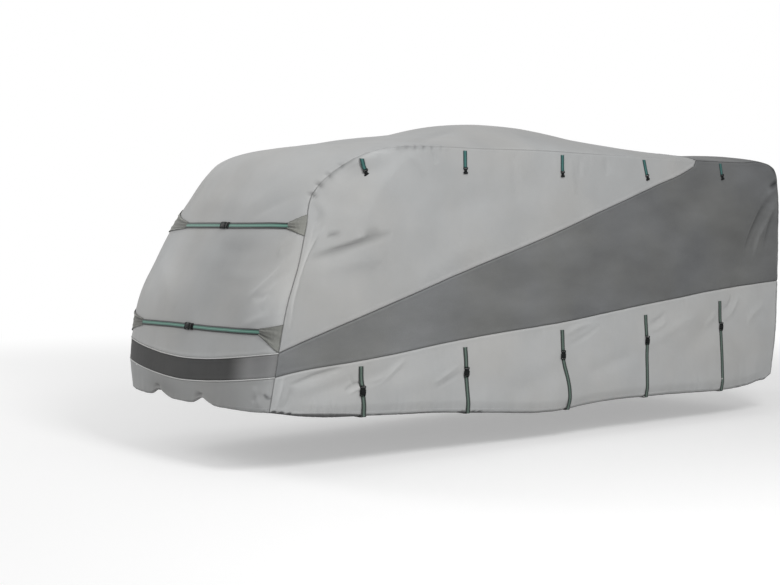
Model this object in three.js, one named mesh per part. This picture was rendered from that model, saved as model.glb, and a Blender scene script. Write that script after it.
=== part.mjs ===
// A fitted outdoor cover of soft cloth, in the shape that it takes over a long rounded body, with its straps.
// Sizes are in millimetres. +X is to the back, +Z is up and the near side is at -Y.
// Heights in the tables are above the ground. At the end the whole cover is lowered, so that the origin is
// the point under the top from which the cover is carried.

import * as THREE from "three";

const carryHeight = 2760;
const halfWidth = 1100;
const clothThickness = 3;
const seamGap = 0.3;

// Sections round the strip that runs up the front, over the roof and down the back.
// x, z, y: the seam's place along the cover, above the ground, and out from the middle.
// bow: how far the middle of the section stands out from the seam. lean: which way, 90 up and 180 forward.
// round: 1 gives an even arch, 3 a flat face with rounded corners. dip: how far the middle hangs below.
// cuts: rows of faces to the next section.
const sections = [
  { name: "frontHem", x: -2911, z: 480, y: 1020, bow: 160, lean: 180, round: 3.0, dip: 0, cuts: 4 },
  { name: "bandLow", x: -2896, z: 743, y: 1074, bow: 182, lean: 180, round: 3.0, dip: 90, cuts: 2 },
  { name: "bandTop", x: -2872, z: 919, y: 1088, bow: 182, lean: 180, round: 3.0, dip: 95, cuts: 2 },
  { name: "frontLow", x: -2783, z: 1303, y: 1090, bow: 180, lean: 180, round: 3.0, dip: 0, cuts: 2 },
  { name: "frontMiddle", x: -2666, z: 1560, y: 1049, bow: 176, lean: 180, round: 3.0, dip: 0, cuts: 2 },
  { name: "frontHigh", x: -2559, z: 1811, y: 982, bow: 176, lean: 180, round: 2.9, dip: 0, cuts: 2 },
  { name: "shoulderLow", x: -2428, z: 2090, y: 892, bow: 173, lean: 164, round: 1.85, dip: 0, cuts: 1 },
  { name: "shoulder", x: -2308, z: 2226, y: 916, bow: 198, lean: 138, round: 1.45, dip: 0, cuts: 1 },
  { name: "shoulderHigh", x: -2129, z: 2369, y: 1036, bow: 121, lean: 116, round: 1.35, dip: 0, cuts: 2 },
  { name: "roofFront", x: -1780, z: 2462, y: 1098, bow: 64, lean: 99, round: 1.45, dip: 0, cuts: 2 },
  { name: "roofRise", x: -1375, z: 2478, y: 1100, bow: 122, lean: 90, round: 1.25, dip: 0, cuts: 2 },
  { name: "humpFoot", x: -890, z: 2480, y: 1100, bow: 182, lean: 90, round: 1.25, dip: 0, cuts: 2 },
  { name: "humpFront", x: -490, z: 2484, y: 1100, bow: 262, lean: 90, round: 1.25, dip: 0, cuts: 3 },
  { name: "humpBack", x: 110, z: 2484, y: 1100, bow: 280, lean: 90, round: 1.25, dip: 0, cuts: 2 },
  { name: "humpFall", x: 610, z: 2480, y: 1100, bow: 214, lean: 90, round: 1.25, dip: 0, cuts: 4 },
  { name: "roofBack", x: 1410, z: 2474, y: 1100, bow: 138, lean: 90, round: 1.25, dip: 0, cuts: 2 },
  { name: "roofSeam", x: 1800, z: 2472, y: 1100, bow: 114, lean: 90, round: 1.25, dip: 0, cuts: 3 },
  { name: "roofEnd", x: 2500, z: 2470, y: 1100, bow: 102, lean: 90, round: 1.25, dip: 0, cuts: 1 },
  { name: "cornerTop", x: 2826, z: 2480, y: 1100, bow: 96, lean: 82, round: 1.4, dip: 0, cuts: 2 },
  { name: "corner", x: 3014, z: 2412, y: 1099, bow: 78, lean: 42, round: 2.0, dip: 0, cuts: 2 },
  { name: "backTop", x: 3074, z: 2180, y: 1098, bow: 70, lean: 6, round: 2.7, dip: 0, cuts: 1 },
  { name: "backHigh", x: 3082, z: 1800, y: 1098, bow: 68, lean: 0, round: 3.0, dip: 0, cuts: 3 },
  { name: "backSeam", x: 3082, z: 1316, y: 1098, bow: 66, lean: 0, round: 3.0, dip: 0, cuts: 2 },
  { name: "backLow", x: 3068, z: 800, y: 1096, bow: 62, lean: 0, round: 3.0, dip: 0, cuts: 2 },
  { name: "backHem", x: 3038, z: 380, y: 1070, bow: 50, lean: 0, round: 3.0, dip: 0, cuts: 0 },
];
const stripColumns = 24;
const columnShares = [];
for (let j = 0; j <= stripColumns; j += 1) columnShares.push(-Math.cos((Math.PI * j) / stripColumns));
const dipPower = 1.7;
const hemNotches = [
  { y: -300, width: 95, rise: 52 },
  { y: 375, width: 110, rise: 56 },
];
const notchFade = 170;

// Steps for slopes, along the strip and across it as a share of its half width. The share that is its edge.
const slopeStep = 4;
const slopeShare = 0.004;
const edgeShare = 0.9999;
const seamStep = 2;
const halvings = 40;

// The hem of each side and the two seams that part its panels, without the ends, which lie on the sections.
const sideHem = [
  [-2700, 443], [-1980, 385], [-1240, 349], [-850, 313], [-30, 256], [400, 282],
  [1750, 281], [2200, 268], [2670, 291], [2860, 322], [2965, 331],
];
const lowerSeam = [[-2755, 766], [-2200, 816], [-1090, 933], [-20, 1020], [1100, 1139], [2320, 1262]];
const upperSeam = [[-2656, 990], [-2100, 1163], [-1092, 1476], [-37, 1797], [1195, 2208], [1690, 2374]];
const upperSeamTip = [1772, 2412];

// How far the sides follow the leaning front seam and the back seam, and how the elastic draws in the hem.
const frontReach = 480;
const backReach = 320;
const hemTuck = 34;
const hemTuckReach = 110;
const roofSeamHeight = 2470;
const roofFoldFade = 260;

// Main soft folds of a side: a trough (depth under 0) or ridge from one point to another, of a given width.
const foldTaper = 0.7;
const sideFolds = [
  { from: [-2400, 2120], to: [-1900, 1780], width: 110, depth: -16 },
  { from: [-2330, 1950], to: [-1960, 1560], width: 130, depth: 14 },
  { from: [-2600, 620], to: [-1700, 740], width: 70, depth: -14 },
  { from: [-2000, 560], to: [-900, 790], width: 90, depth: 12 },
  { from: [-700, 420], to: [300, 700], width: 100, depth: -10 },
  { from: [1500, 620], to: [2300, 1040], width: 110, depth: -12 },
  { from: [2380, 1180], to: [2930, 2250], width: 130, depth: -14 },
];

// Webbing, buckles and patches. A stud is the half buckle at the end of a tab.
const webbing = { thickness: 1.5, width: 45, tabWidth: 40, step: 42 };
const buckles = {
  front: { length: 128, width: 58, thickness: 14, endWidth: 48, endThickness: 8, shoulder: 15, waist: 53 },
  body: { length: 80, width: 56, thickness: 14, endWidth: 47, endThickness: 8, shoulder: 12, waist: 51 },
};
const stud = { length: 50, width: 46, thickness: 10, tipWidth: 30, tipThickness: 5, shoulder: 10, step: 2 };
const patch = { thickness: 2, apexWidth: 52, rows: 4, gap: 2.5, apexGap: 0.8 };

// Front straps. height: of the near, middle and far parts. The ends and the buckle are given as shares of the
// half width, near side negative. near and far: lowest and highest point of each patch's foot on the seam.
const frontStraps = [
  {
    name: "upper", height: [1842, 1851, 1864], ends: [-0.9, 0.56], buckle: -0.1,
    near: [1772, 1930], far: [1786, 2002],
  },
  {
    name: "lower", height: [1071, 1068, 1042], ends: [-0.88, 0.69], buckle: -0.04,
    near: [928, 1128], far: [946, 1160],
  },
];
const frontSlope = { up: 20, across: 0.01 };
const stationShare = 0.004;
const apexShare = 0.001;
const frontBuckleGap = 1.3;
// Tabs under the roof seam: top end, how far the foot lies back of it, the length with the stud, and the gap
// to the cloth under it.
const tabs = [
  { x: -2082, z: 2362, back: 64, length: 128, gap: 1.5 },
  { x: -1086, z: 2457, back: 6, length: 182, gap: 0.65 },
  { x: 19, z: 2457, back: 7, length: 182, gap: 0.65 },
  { x: 1070, z: 2450, back: 50, length: 178, gap: 0.65 },
  { x: 2157, z: 2452, back: 38, length: 152, gap: 0.65 },
];
// Body straps: upper end, buckle, where the strap passes under the hem, and how far it swings back between.
const bodyStraps = [
  { x: -2134, z: 779, buckleX: -2121, buckleZ: 592, hemX: -2094, swing: 0 },
  { x: -1081, z: 869, buckleX: -1069, buckleZ: 668, hemX: -1030, swing: 0 },
  { x: 34, z: 961, buckleX: 48, buckleZ: 743, hemX: 128, swing: 32 },
  { x: 1109, z: 1045, buckleX: 1125, buckleZ: 816, hemX: 1148, swing: 0 },
  { x: 2181, z: 1138, buckleX: 2201, buckleZ: 894, hemX: 2236, swing: 0 },
];
// How a strap turns under the hem, and the shares of the half width where its run below has a section.
const swingPower = 1.4;
const hemClear = 4;
const underDrop = 14;
const underShares = [-0.9, -0.5, 0, 0.5, 0.9];
const buckleGap = 0.6;
const strapGap = 0.65;

const lightCloth = { color: 0xa9aaa9, roughness: 0.85, metalness: 0 };
const darkCloth = { color: 0x5f6164, roughness: 0.85, metalness: 0 };
const patchCloth = { color: 0x8b8b84, roughness: 0.85, metalness: 0 };
const strapWeb = { color: 0x35544b, roughness: 0.7, metalness: 0 };
const blackPlastic = { color: 0x15181a, roughness: 0.45, metalness: 0 };

const group = new THREE.Group();
const cover = new THREE.Group();
cover.position.z = -carryHeight;
group.add(cover);

function addMesh(name, geometry, finish) {
  const mesh = new THREE.Mesh(geometry, new THREE.MeshStandardMaterial(finish));
  mesh.name = name;
  cover.add(mesh);
}

// A smooth line through values at given places, with slopes weighted by the distance between the places.
function smoothValue(places, values, at) {
  const last = places.length - 1;
  let i = 0;
  while (i < last - 1 && at > places[i + 1]) i += 1;
  const step = (k) => (values[k + 1] - values[k]) / (places[k + 1] - places[k]);
  const slope = (k) => {
    if (k === 0) return step(0);
    if (k === last) return step(last - 1);
    const before = places[k] - places[k - 1];
    const after = places[k + 1] - places[k];
    return (step(k - 1) * after + step(k) * before) / (before + after);
  };
  const h = places[i + 1] - places[i];
  const t = Math.min(1, Math.max(0, (at - places[i]) / h));
  const a = values[i] * (1 + 2 * t) * (1 - t) ** 2 + values[i + 1] * t * t * (3 - 2 * t);
  return a + h * (slope(i) * t * (1 - t) ** 2 - slope(i + 1) * t * t * (1 - t));
}

function runLengths(points) {
  const lengths = [0];
  for (let i = 1; i < points.length; i += 1) {
    const [dx, dz] = [points[i][0] - points[i - 1][0], points[i][1] - points[i - 1][1]];
    lengths.push(lengths[i - 1] + Math.hypot(dx, dz));
  }
  return lengths;
}

// The strip: s runs along the seam from the front hem to the back hem, v across from -1 to 1.
const sectionPlaces = runLengths(sections.map((c) => [c.x, c.z]));
const sectionIndex = Object.fromEntries(sections.map((c, i) => [c.name, i]));
const placeOf = (name) => sectionPlaces[sectionIndex[name]];

function sectionAt(s) {
  const column = (key) => smoothValue(sectionPlaces, sections.map((c) => c[key]), s);
  return {
    x: column("x"),
    z: column("z"),
    y: column("y"),
    bow: column("bow"),
    lean: column("lean"),
    round: column("round"),
    dip: column("dip"),
  };
}

function notchRise(s, y) {
  let rise = 0;
  for (const notch of hemNotches) rise += notch.rise * Math.exp(-(((y - notch.y) / notch.width) ** 2));
  return rise * Math.max(0, 1 - s / notchFade);
}

function stripPoint(s, v) {
  const c = sectionAt(s);
  const rise = c.bow * Math.max(0, 1 - v * v) ** (1 / c.round);
  const angle = THREE.MathUtils.degToRad(c.lean);
  const y = v * c.y;
  const sag = c.dip * (1 - Math.abs(v) ** dipPower);
  return new THREE.Vector3(
    c.x + rise * Math.cos(angle),
    y,
    c.z + rise * Math.sin(angle) - sag + notchRise(s, y),
  );
}

// Outward direction of the strip. At the seam itself it is straight out to the side, as the side panel's is.
function stripNormal(s, v) {
  if (Math.abs(v) > edgeShare) return new THREE.Vector3(0, Math.sign(v), 0);
  const end = sectionPlaces[sectionPlaces.length - 1];
  const along = stripPoint(Math.min(end, s + slopeStep), v).sub(stripPoint(Math.max(0, s - slopeStep), v));
  const across = stripPoint(s, Math.min(1, v + slopeShare)).sub(stripPoint(s, Math.max(-1, v - slopeShare)));
  return across.cross(along).normalize().negate();
}

// A closed sheet between two grids of points of the same shape.
function closedSheet(outer, inner) {
  const rows = outer.length;
  const columns = outer[0].length;
  const positions = [...outer.flat(), ...inner.flat()].flatMap((p) => [p.x, p.y, p.z]);
  const back = rows * columns;
  const faces = [];
  const quad = (a, b, c, d) => faces.push(a, b, c, a, c, d);
  for (let i = 0; i < rows - 1; i += 1) {
    for (let j = 0; j < columns - 1; j += 1) {
      const k = i * columns + j;
      quad(k, k + 1, k + columns + 1, k + columns);
      quad(back + k, back + k + columns, back + k + columns + 1, back + k + 1);
    }
  }
  const rim = [];
  for (let j = 0; j < columns - 1; j += 1) rim.push(j);
  for (let i = 0; i < rows - 1; i += 1) rim.push(i * columns + columns - 1);
  for (let j = columns - 1; j > 0; j -= 1) rim.push((rows - 1) * columns + j);
  for (let i = rows - 1; i > 0; i -= 1) rim.push(i * columns);
  rim.forEach((k, n) => {
    const next = rim[(n + 1) % rim.length];
    quad(k, back + k, back + next, next);
  });
  return facingOut(positions, faces);
}

function facingOut(positions, faces) {
  const corner = (k) => new THREE.Vector3(...positions.slice(3 * k, 3 * k + 3));
  let volume = 0;
  for (let i = 0; i < faces.length; i += 3) {
    const [a, b, c] = [corner(faces[i]), corner(faces[i + 1]), corner(faces[i + 2])];
    volume += a.dot(b.cross(c));
  }
  if (volume < 0) faces.reverse();
  const geometry = new THREE.BufferGeometry();
  geometry.setAttribute("position", new THREE.Float32BufferAttribute(positions, 3));
  geometry.setIndex(faces);
  geometry.computeVertexNormals();
  return geometry;
}

// Rows of the strip between two sections.
function rowPlaces(fromName, toName) {
  const places = [];
  for (let i = sectionIndex[fromName]; i < sectionIndex[toName]; i += 1) {
    for (let k = 0; k < sections[i].cuts; k += 1) {
      const share = k / sections[i].cuts;
      places.push(sectionPlaces[i] + share * (sectionPlaces[i + 1] - sectionPlaces[i]));
    }
  }
  places.push(placeOf(toName));
  return places;
}

function stripPanel(name, fromName, toName, finish) {
  const places = rowPlaces(fromName, toName);
  places[0] += seamGap / 2;
  places[places.length - 1] -= seamGap / 2;
  const outer = places.map((s) => columnShares.map((v) => stripPoint(s, v)));
  const inner = places.map((s, i) =>
    columnShares.map((v, j) => outer[i][j].clone().addScaledVector(stripNormal(s, v), -clothThickness)),
  );
  addMesh(name, closedSheet(outer, inner), finish);
  return outer;
}

// Place and width of the front or back seam at a height.
function seamAtHeight(z, lowName, topName) {
  let [low, top] = [placeOf(lowName), placeOf(topName)];
  for (let i = 0; i < halvings; i += 1) {
    const middle = (low + top) / 2;
    if (sectionAt(middle).z < z) low = middle;
    else top = middle;
  }
  return sectionAt(low);
}

function fade(t) {
  const c = Math.min(1, Math.max(0, t));
  return (1 - c) ** 2 * (1 + 2 * c);
}

function curveThrough(points) {
  const places = runLengths(points);
  const total = places[places.length - 1];
  const [xs, zs] = [points.map((p) => p[0]), points.map((p) => p[1])];
  return (t) => [smoothValue(places, xs, t * total), smoothValue(places, zs, t * total)];
}

const seamEnd = (name) => [sections[sectionIndex[name]].x, sections[sectionIndex[name]].z];
const hemPoints = [seamEnd("frontHem"), ...sideHem, seamEnd("backHem")];
const hemLine = curveThrough(hemPoints);
const lowerLine = curveThrough([seamEnd("bandLow"), ...lowerSeam, seamEnd("backSeam")]);
const upperLine = curveThrough([seamEnd("bandTop"), ...upperSeam, upperSeamTip]);

function hemHeight(x) {
  return smoothValue(hemPoints.map((p) => p[0]), hemPoints.map((p) => p[1]), x);
}

function foldDepth(x, z) {
  let sum = 0;
  for (const fold of sideFolds) {
    const [ax, az] = fold.from;
    const [dx, dz] = [fold.to[0] - ax, fold.to[1] - az];
    const length = Math.hypot(dx, dz);
    const along = ((x - ax) * dx + (z - az) * dz) / length / length;
    const off = ((x - ax) * dz - (z - az) * dx) / length / fold.width;
    const taper = Math.sin(Math.PI * Math.min(1, Math.max(0, along))) ** foldTaper;
    sum += fold.depth * taper * Math.exp(-off * off);
  }
  return sum;
}

// How far out a side lies at a place on it.
function sideOut(x, z) {
  const front = seamAtHeight(z, "frontHem", "humpFront");
  const back = seamAtHeight(z, "backHem", "roofEnd");
  const nearFront = fade((x - front.x) / frontReach);
  const nearBack = fade((back.x - x) / backReach);
  const free = (1 - nearFront) * (1 - nearBack);
  const tuck = hemTuck * fade((z - hemHeight(x)) / hemTuckReach) * free;
  const lean = (front.y - halfWidth) * nearFront + (back.y - halfWidth) * nearBack;
  const topFade = 1 - fade((roofSeamHeight - z) / roofFoldFade);
  return halfWidth + lean - tuck + foldDepth(x, z) * free * topFade;
}

// Points of the seam beside the strip's rows, moved in by the gap.
function seamPoints(fromName, toName) {
  return rowPlaces(fromName, toName).map((s) => {
    const here = sectionAt(s);
    const [a, b] = [sectionAt(Math.max(0, s - seamStep)), sectionAt(s + seamStep)];
    const length = Math.hypot(b.x - a.x, b.z - a.z);
    return [here.x + (seamGap * (b.z - a.z)) / length, here.z - (seamGap * (b.x - a.x)) / length];
  });
}

function refine(points, count) {
  const each = count / (points.length - 1);
  const out = [];
  for (let i = 0; i < count; i += 1) {
    const k = Math.floor(i / each);
    const t = (i - k * each) / each;
    out.push([0, 1].map((n) => points[k][n] * (1 - t) + points[k + 1][n] * t));
  }
  out.push(points[points.length - 1]);
  return out;
}

function sampleLine(line, count, shift) {
  const out = [];
  for (let i = 0; i <= count; i += 1) {
    const [x, z] = line(i / count);
    out.push([x, z + shift]);
  }
  return out;
}

// A grid of places between four edges, each a list of points that meets its neighbours at the corners.
function gridBetween(bottom, top, left, right) {
  const [rows, columns] = [left.length - 1, bottom.length - 1];
  const grid = [];
  for (let i = 0; i <= rows; i += 1) {
    const b = i / rows;
    const line = [];
    for (let j = 0; j <= columns; j += 1) {
      const a = j / columns;
      line.push([0, 1].map((n) => {
        const edges = (1 - b) * bottom[j][n] + b * top[j][n] + (1 - a) * left[i][n] + a * right[i][n];
        const low = (1 - a) * bottom[0][n] + a * bottom[columns][n];
        const high = (1 - a) * top[0][n] + a * top[columns][n];
        return edges - (1 - b) * low - b * high;
      }));
    }
    grid.push(line);
  }
  return grid;
}

// Moves the ends of a line onto the ends of the seam lists, so that the corners meet exactly.
function pinEnds(line, start, end) {
  line[0] = start;
  line[line.length - 1] = end;
  return line;
}

function sidePanel(name, side, places, finish) {
  const point = (p, depth) => new THREE.Vector3(p.x, side * (p.y - depth), p.z);
  const outer = places.map((line) => line.map((p) => point(p, 0)));
  const inner = places.map((line) => line.map((p) => point(p, clothThickness)));
  addMesh(name, closedSheet(outer, inner), finish);
}

function sideGrids() {
  const half = seamGap / 2;
  const roof = seamPoints("shoulderHigh", "roofSeam");
  const columns = roof.length;
  const frontSkirt = seamPoints("frontHem", "bandLow");
  const frontBand = seamPoints("bandLow", "bandTop");
  const frontSeam = seamPoints("bandTop", "shoulderHigh");
  const backLow = seamPoints("backSeam", "backHem").reverse();
  const backTop = seamPoints("roofSeam", "backSeam").reverse();
  const lift = (p, dz) => [p[0], p[1] + dz];
  const hem = pinEnds(sampleLine(hemLine, columns, 0), frontSkirt[0], backLow[0]);
  const underLower = sampleLine(lowerLine, columns, -half);
  const overLower = sampleLine(lowerLine, columns, half);
  const underUpper = [...sampleLine(upperLine, columns - 1, -half), seamEnd("roofSeam")];
  const overUpper = sampleLine(upperLine, columns - 1, half);
  frontSkirt[frontSkirt.length - 1] = lift(frontSkirt[frontSkirt.length - 1], -half);
  frontBand[0] = lift(frontBand[0], half);
  frontBand[frontBand.length - 1] = lift(frontBand[frontBand.length - 1], -half);
  frontSeam[0] = lift(frontSeam[0], half);
  backLow[backLow.length - 1] = lift(backLow[backLow.length - 1], -half);
  backTop[0] = lift(backTop[0], half);
  backTop[backTop.length - 1] = [backTop[backTop.length - 1][0] + half, backTop[backTop.length - 1][1]];
  const tip = [overUpper[columns - 1][0] - half, overUpper[columns - 1][1]];
  const roofTip = [roof[roof.length - 1][0] - half, roof[roof.length - 1][1]];
  const upperRows = frontSeam.length - 1;
  const middleRows = backTop.length - 1;
  return {
    lower: gridBetween(
      hem,
      pinEnds(underLower, frontSkirt[frontSkirt.length - 1], backLow[backLow.length - 1]),
      frontSkirt,
      backLow,
    ),
    middle: gridBetween(
      pinEnds(overLower, frontBand[0], backTop[0]),
      pinEnds(underUpper, frontBand[frontBand.length - 1], backTop[middleRows]),
      refine(frontBand, middleRows),
      backTop,
    ),
    upper: gridBetween(
      pinEnds(overUpper, frontSeam[0], tip),
      pinEnds(roof, frontSeam[upperRows], roofTip),
      frontSeam,
      refine([tip, roofTip], upperRows),
    ),
  };
}

stripPanel("front_skirt", "frontHem", "bandLow", lightCloth);
stripPanel("front_band", "bandLow", "bandTop", darkCloth);
const frontFaces = stripPanel("front_and_roof", "bandTop", "roofSeam", lightCloth);
stripPanel("back_upper", "roofSeam", "backSeam", darkCloth);
stripPanel("back_lower", "backSeam", "backHem", lightCloth);

const sideFaces = {};
for (const [name, grid] of Object.entries(sideGrids())) {
  sideFaces[name] = grid.map((line) => line.map(([x, z]) => new THREE.Vector3(x, sideOut(x, z), z)));
}
for (const [label, side] of [["near", -1], ["far", 1]]) {
  sidePanel("side_lower_" + label, side, sideFaces.lower, lightCloth);
  sidePanel("side_middle_" + label, side, sideFaces.middle, darkCloth);
  sidePanel("side_upper_" + label, side, sideFaces.upper, lightCloth);
}

// The point of the front's faces at a share of the half width and a height.
function frontPoint(share, z) {
  let j = 0;
  while (j < stripColumns - 1 && columnShares[j + 1] < share) j += 1;
  const [a, b] = [j, j + 1].map((column) => {
    let i = 0;
    while (i < frontFaces.length - 2 && frontFaces[i + 1][column].z < z) i += 1;
    const [low, high] = [frontFaces[i][column], frontFaces[i + 1][column]];
    return low.clone().lerp(high, (z - low.z) / (high.z - low.z));
  });
  return a.lerp(b, (share - columnShares[j]) / (columnShares[j + 1] - columnShares[j]));
}

// How far out the faces of a side lie at a place on it.
function faceOut(x, z) {
  for (const places of Object.values(sideFaces)) {
    for (let i = 0; i < places.length - 1; i += 1) {
      for (let j = 0; j < places[0].length - 1; j += 1) {
        const [a, b, c, d] = [places[i][j], places[i][j + 1], places[i + 1][j + 1], places[i + 1][j]];
        for (const corners of [[a, b, c], [a, c, d]]) {
          const shares = triangleShares(corners, x, z);
          if (Math.min(...shares) >= 0) return shares.reduce((sum, w, n) => sum + w * corners[n].y, 0);
        }
      }
    }
  }
  return sideOut(x, z);
}

function triangleShares([a, b, c], x, z) {
  const whole = (b.x - a.x) * (c.z - a.z) - (b.z - a.z) * (c.x - a.x);
  const second = ((x - a.x) * (c.z - a.z) - (z - a.z) * (c.x - a.x)) / whole;
  const third = ((b.x - a.x) * (z - a.z) - (b.z - a.z) * (x - a.x)) / whole;
  return [1 - second - third, second, third];
}

// A band of rectangular sections. Each station has its middle on the cloth, its directions across and out,
// its width and thickness, and its gap to the cloth.
function bandSolid(stations) {
  const positions = [];
  for (const part of stations) {
    for (const [side, layer] of [[-1, 0], [1, 0], [1, 1], [-1, 1]]) {
      const point = part.at.clone();
      point.addScaledVector(part.across, (side * part.width) / 2);
      point.addScaledVector(part.out, part.gap + layer * part.thickness);
      positions.push(point.x, point.y, point.z);
    }
  }
  const faces = [];
  const quad = (a, b, c, d) => faces.push(a, b, c, a, c, d);
  for (let k = 0; k < 4 * (stations.length - 1); k += 4) {
    for (let n = 0; n < 4; n += 1) {
      const next = (n + 1) % 4;
      quad(k + n, k + next, k + 4 + next, k + 4 + n);
    }
  }
  const last = 4 * (stations.length - 1);
  quad(3, 2, 1, 0);
  quad(last, last + 1, last + 2, last + 3);
  return facingOut(positions, faces);
}

// A side-release buckle along a straight line from its middle.
function buckleSolid(buckle, middle, along, across, out) {
  const half = buckle.length / 2;
  const profile = [
    [-half, buckle.endWidth, buckle.endThickness],
    [-half + buckle.shoulder, buckle.width, buckle.thickness],
    [0, buckle.waist, buckle.thickness],
    [half - buckle.shoulder, buckle.width, buckle.thickness],
    [half, buckle.endWidth, buckle.endThickness],
  ];
  return bandSolid(profile.map(([offset, width, thickness]) => (
    { at: middle.clone().addScaledVector(along, offset), across, out, width, thickness, gap: buckleGap }
  )));
}

function frontStation(strap, share) {
  const [near, middle, far] = strap.height;
  const reach = Math.abs(share);
  const z = middle + ((share < 0 ? near : far) - middle) * reach ** 2;
  const at = frontPoint(share, z);
  const across = frontPoint(share, z + frontSlope.up).sub(frontPoint(share, z - frontSlope.up)).normalize();
  const ahead = frontPoint(Math.min(1, share + frontSlope.across), z);
  const along = ahead.sub(frontPoint(Math.max(-1, share - frontSlope.across), z)).normalize();
  const out = across.clone().cross(along).normalize();
  return { share, at, across, along, out };
}

// Stations of a front strap between two shares, one at each column of the cloth's faces.
function frontRun(strap, from, to) {
  const between = columnShares.filter((share) => share > from + stationShare && share < to - stationShare);
  return [from, ...between, to].map((share) => frontStation(strap, share));
}

function frontPatch(strap, label, side) {
  const apex = side < 0 ? strap.ends[0] : strap.ends[1];
  const stations = side < 0 ? frontRun(strap, -1, apex).reverse() : frontRun(strap, apex, 1);
  const lengths = [0];
  for (let k = 1; k < stations.length; k += 1) {
    lengths.push(lengths[k - 1] + stations[k].at.distanceTo(stations[k - 1].at));
  }
  const [footLow, footTop] = side < 0 ? strap.near : strap.far;
  const layers = [0, patch.thickness].map((layer) => stations.map((part, k) => {
    const share = lengths[k] / lengths[lengths.length - 1];
    const out = k === stations.length - 1 ? new THREE.Vector3(0, side, 0) : part.out;
    const lift = layer + (k === 0 ? patch.apexGap : patch.gap);
    const line = [];
    for (let r = 0; r <= patch.rows; r += 1) {
      const start = part.at.z + (r / patch.rows - 0.5) * patch.apexWidth;
      const z = start + share * (footLow + (r / patch.rows) * (footTop - footLow) - start);
      line.push(frontPoint(part.share, z).addScaledVector(out, lift));
    }
    return line;
  }));
  addMesh("front_patch_" + strap.name + "_" + label, closedSheet(layers[1], layers[0]), patchCloth);
}

for (const strap of frontStraps) {
  frontPatch(strap, "near", -1);
  frontPatch(strap, "far", 1);
  const middle = frontStation(strap, strap.buckle);
  const halfShare = (buckles.front.length / 2 + frontBuckleGap) / frontPoint(1, middle.at.z).y;
  const size = { width: webbing.width, thickness: webbing.thickness, gap: strapGap };
  const runs = {
    near: frontRun(strap, strap.ends[0] + apexShare, strap.buckle - halfShare),
    far: frontRun(strap, strap.buckle + halfShare, strap.ends[1] - apexShare),
  };
  for (const [label, run] of Object.entries(runs)) {
    const stations = run.map((part) => ({ ...part, ...size }));
    addMesh("front_strap_" + strap.name + "_" + label, bandSolid(stations), strapWeb);
  }
  const solid = buckleSolid(buckles.front, middle.at, middle.along, middle.across, middle.out);
  addMesh("front_buckle_" + strap.name, solid, blackPlastic);
}

const backward = new THREE.Vector3(1, 0, 0);

// A station on a side, on the highest place under its own width and within a reach above and below it.
function sideStation(side, x, z, width, thickness, gap, reach = 0) {
  const heights = [];
  for (const dx of [-width / 2, 0, width / 2]) {
    for (const dz of [-reach, 0, reach]) heights.push(faceOut(x + dx, z + dz));
  }
  const at = new THREE.Vector3(x, side * Math.max(...heights), z);
  return { at, across: backward, out: new THREE.Vector3(0, side, 0), width, thickness, gap };
}

function roofTab(tab, label, side) {
  const webLength = tab.length - stud.length;
  const profile = [
    [0, webbing.tabWidth, webbing.thickness],
    [webLength / 2, webbing.tabWidth, webbing.thickness],
    [webLength, webbing.tabWidth, webbing.thickness],
    [webLength + stud.step, stud.width, stud.thickness],
    [tab.length - stud.shoulder, stud.width, stud.thickness],
    [tab.length, stud.tipWidth, stud.tipThickness],
  ];
  const stations = profile.map(([down, width, thickness]) => (
    sideStation(side, tab.x + (tab.back * down) / tab.length, tab.z - down, width, thickness, tab.gap)
  ));
  addMesh("roof_tab_" + label, bandSolid(stations), strapWeb);
}

tabs.forEach((tab, n) => {
  roofTab(tab, "near_" + (n + 1), -1);
  roofTab(tab, "far_" + (n + 1), 1);
});

function stepsBetween(from, to, step) {
  const count = Math.ceil(Math.abs(to - from) / step);
  return Array.from({ length: count + 1 }, (_, k) => from + ((to - from) * k) / count);
}

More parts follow.
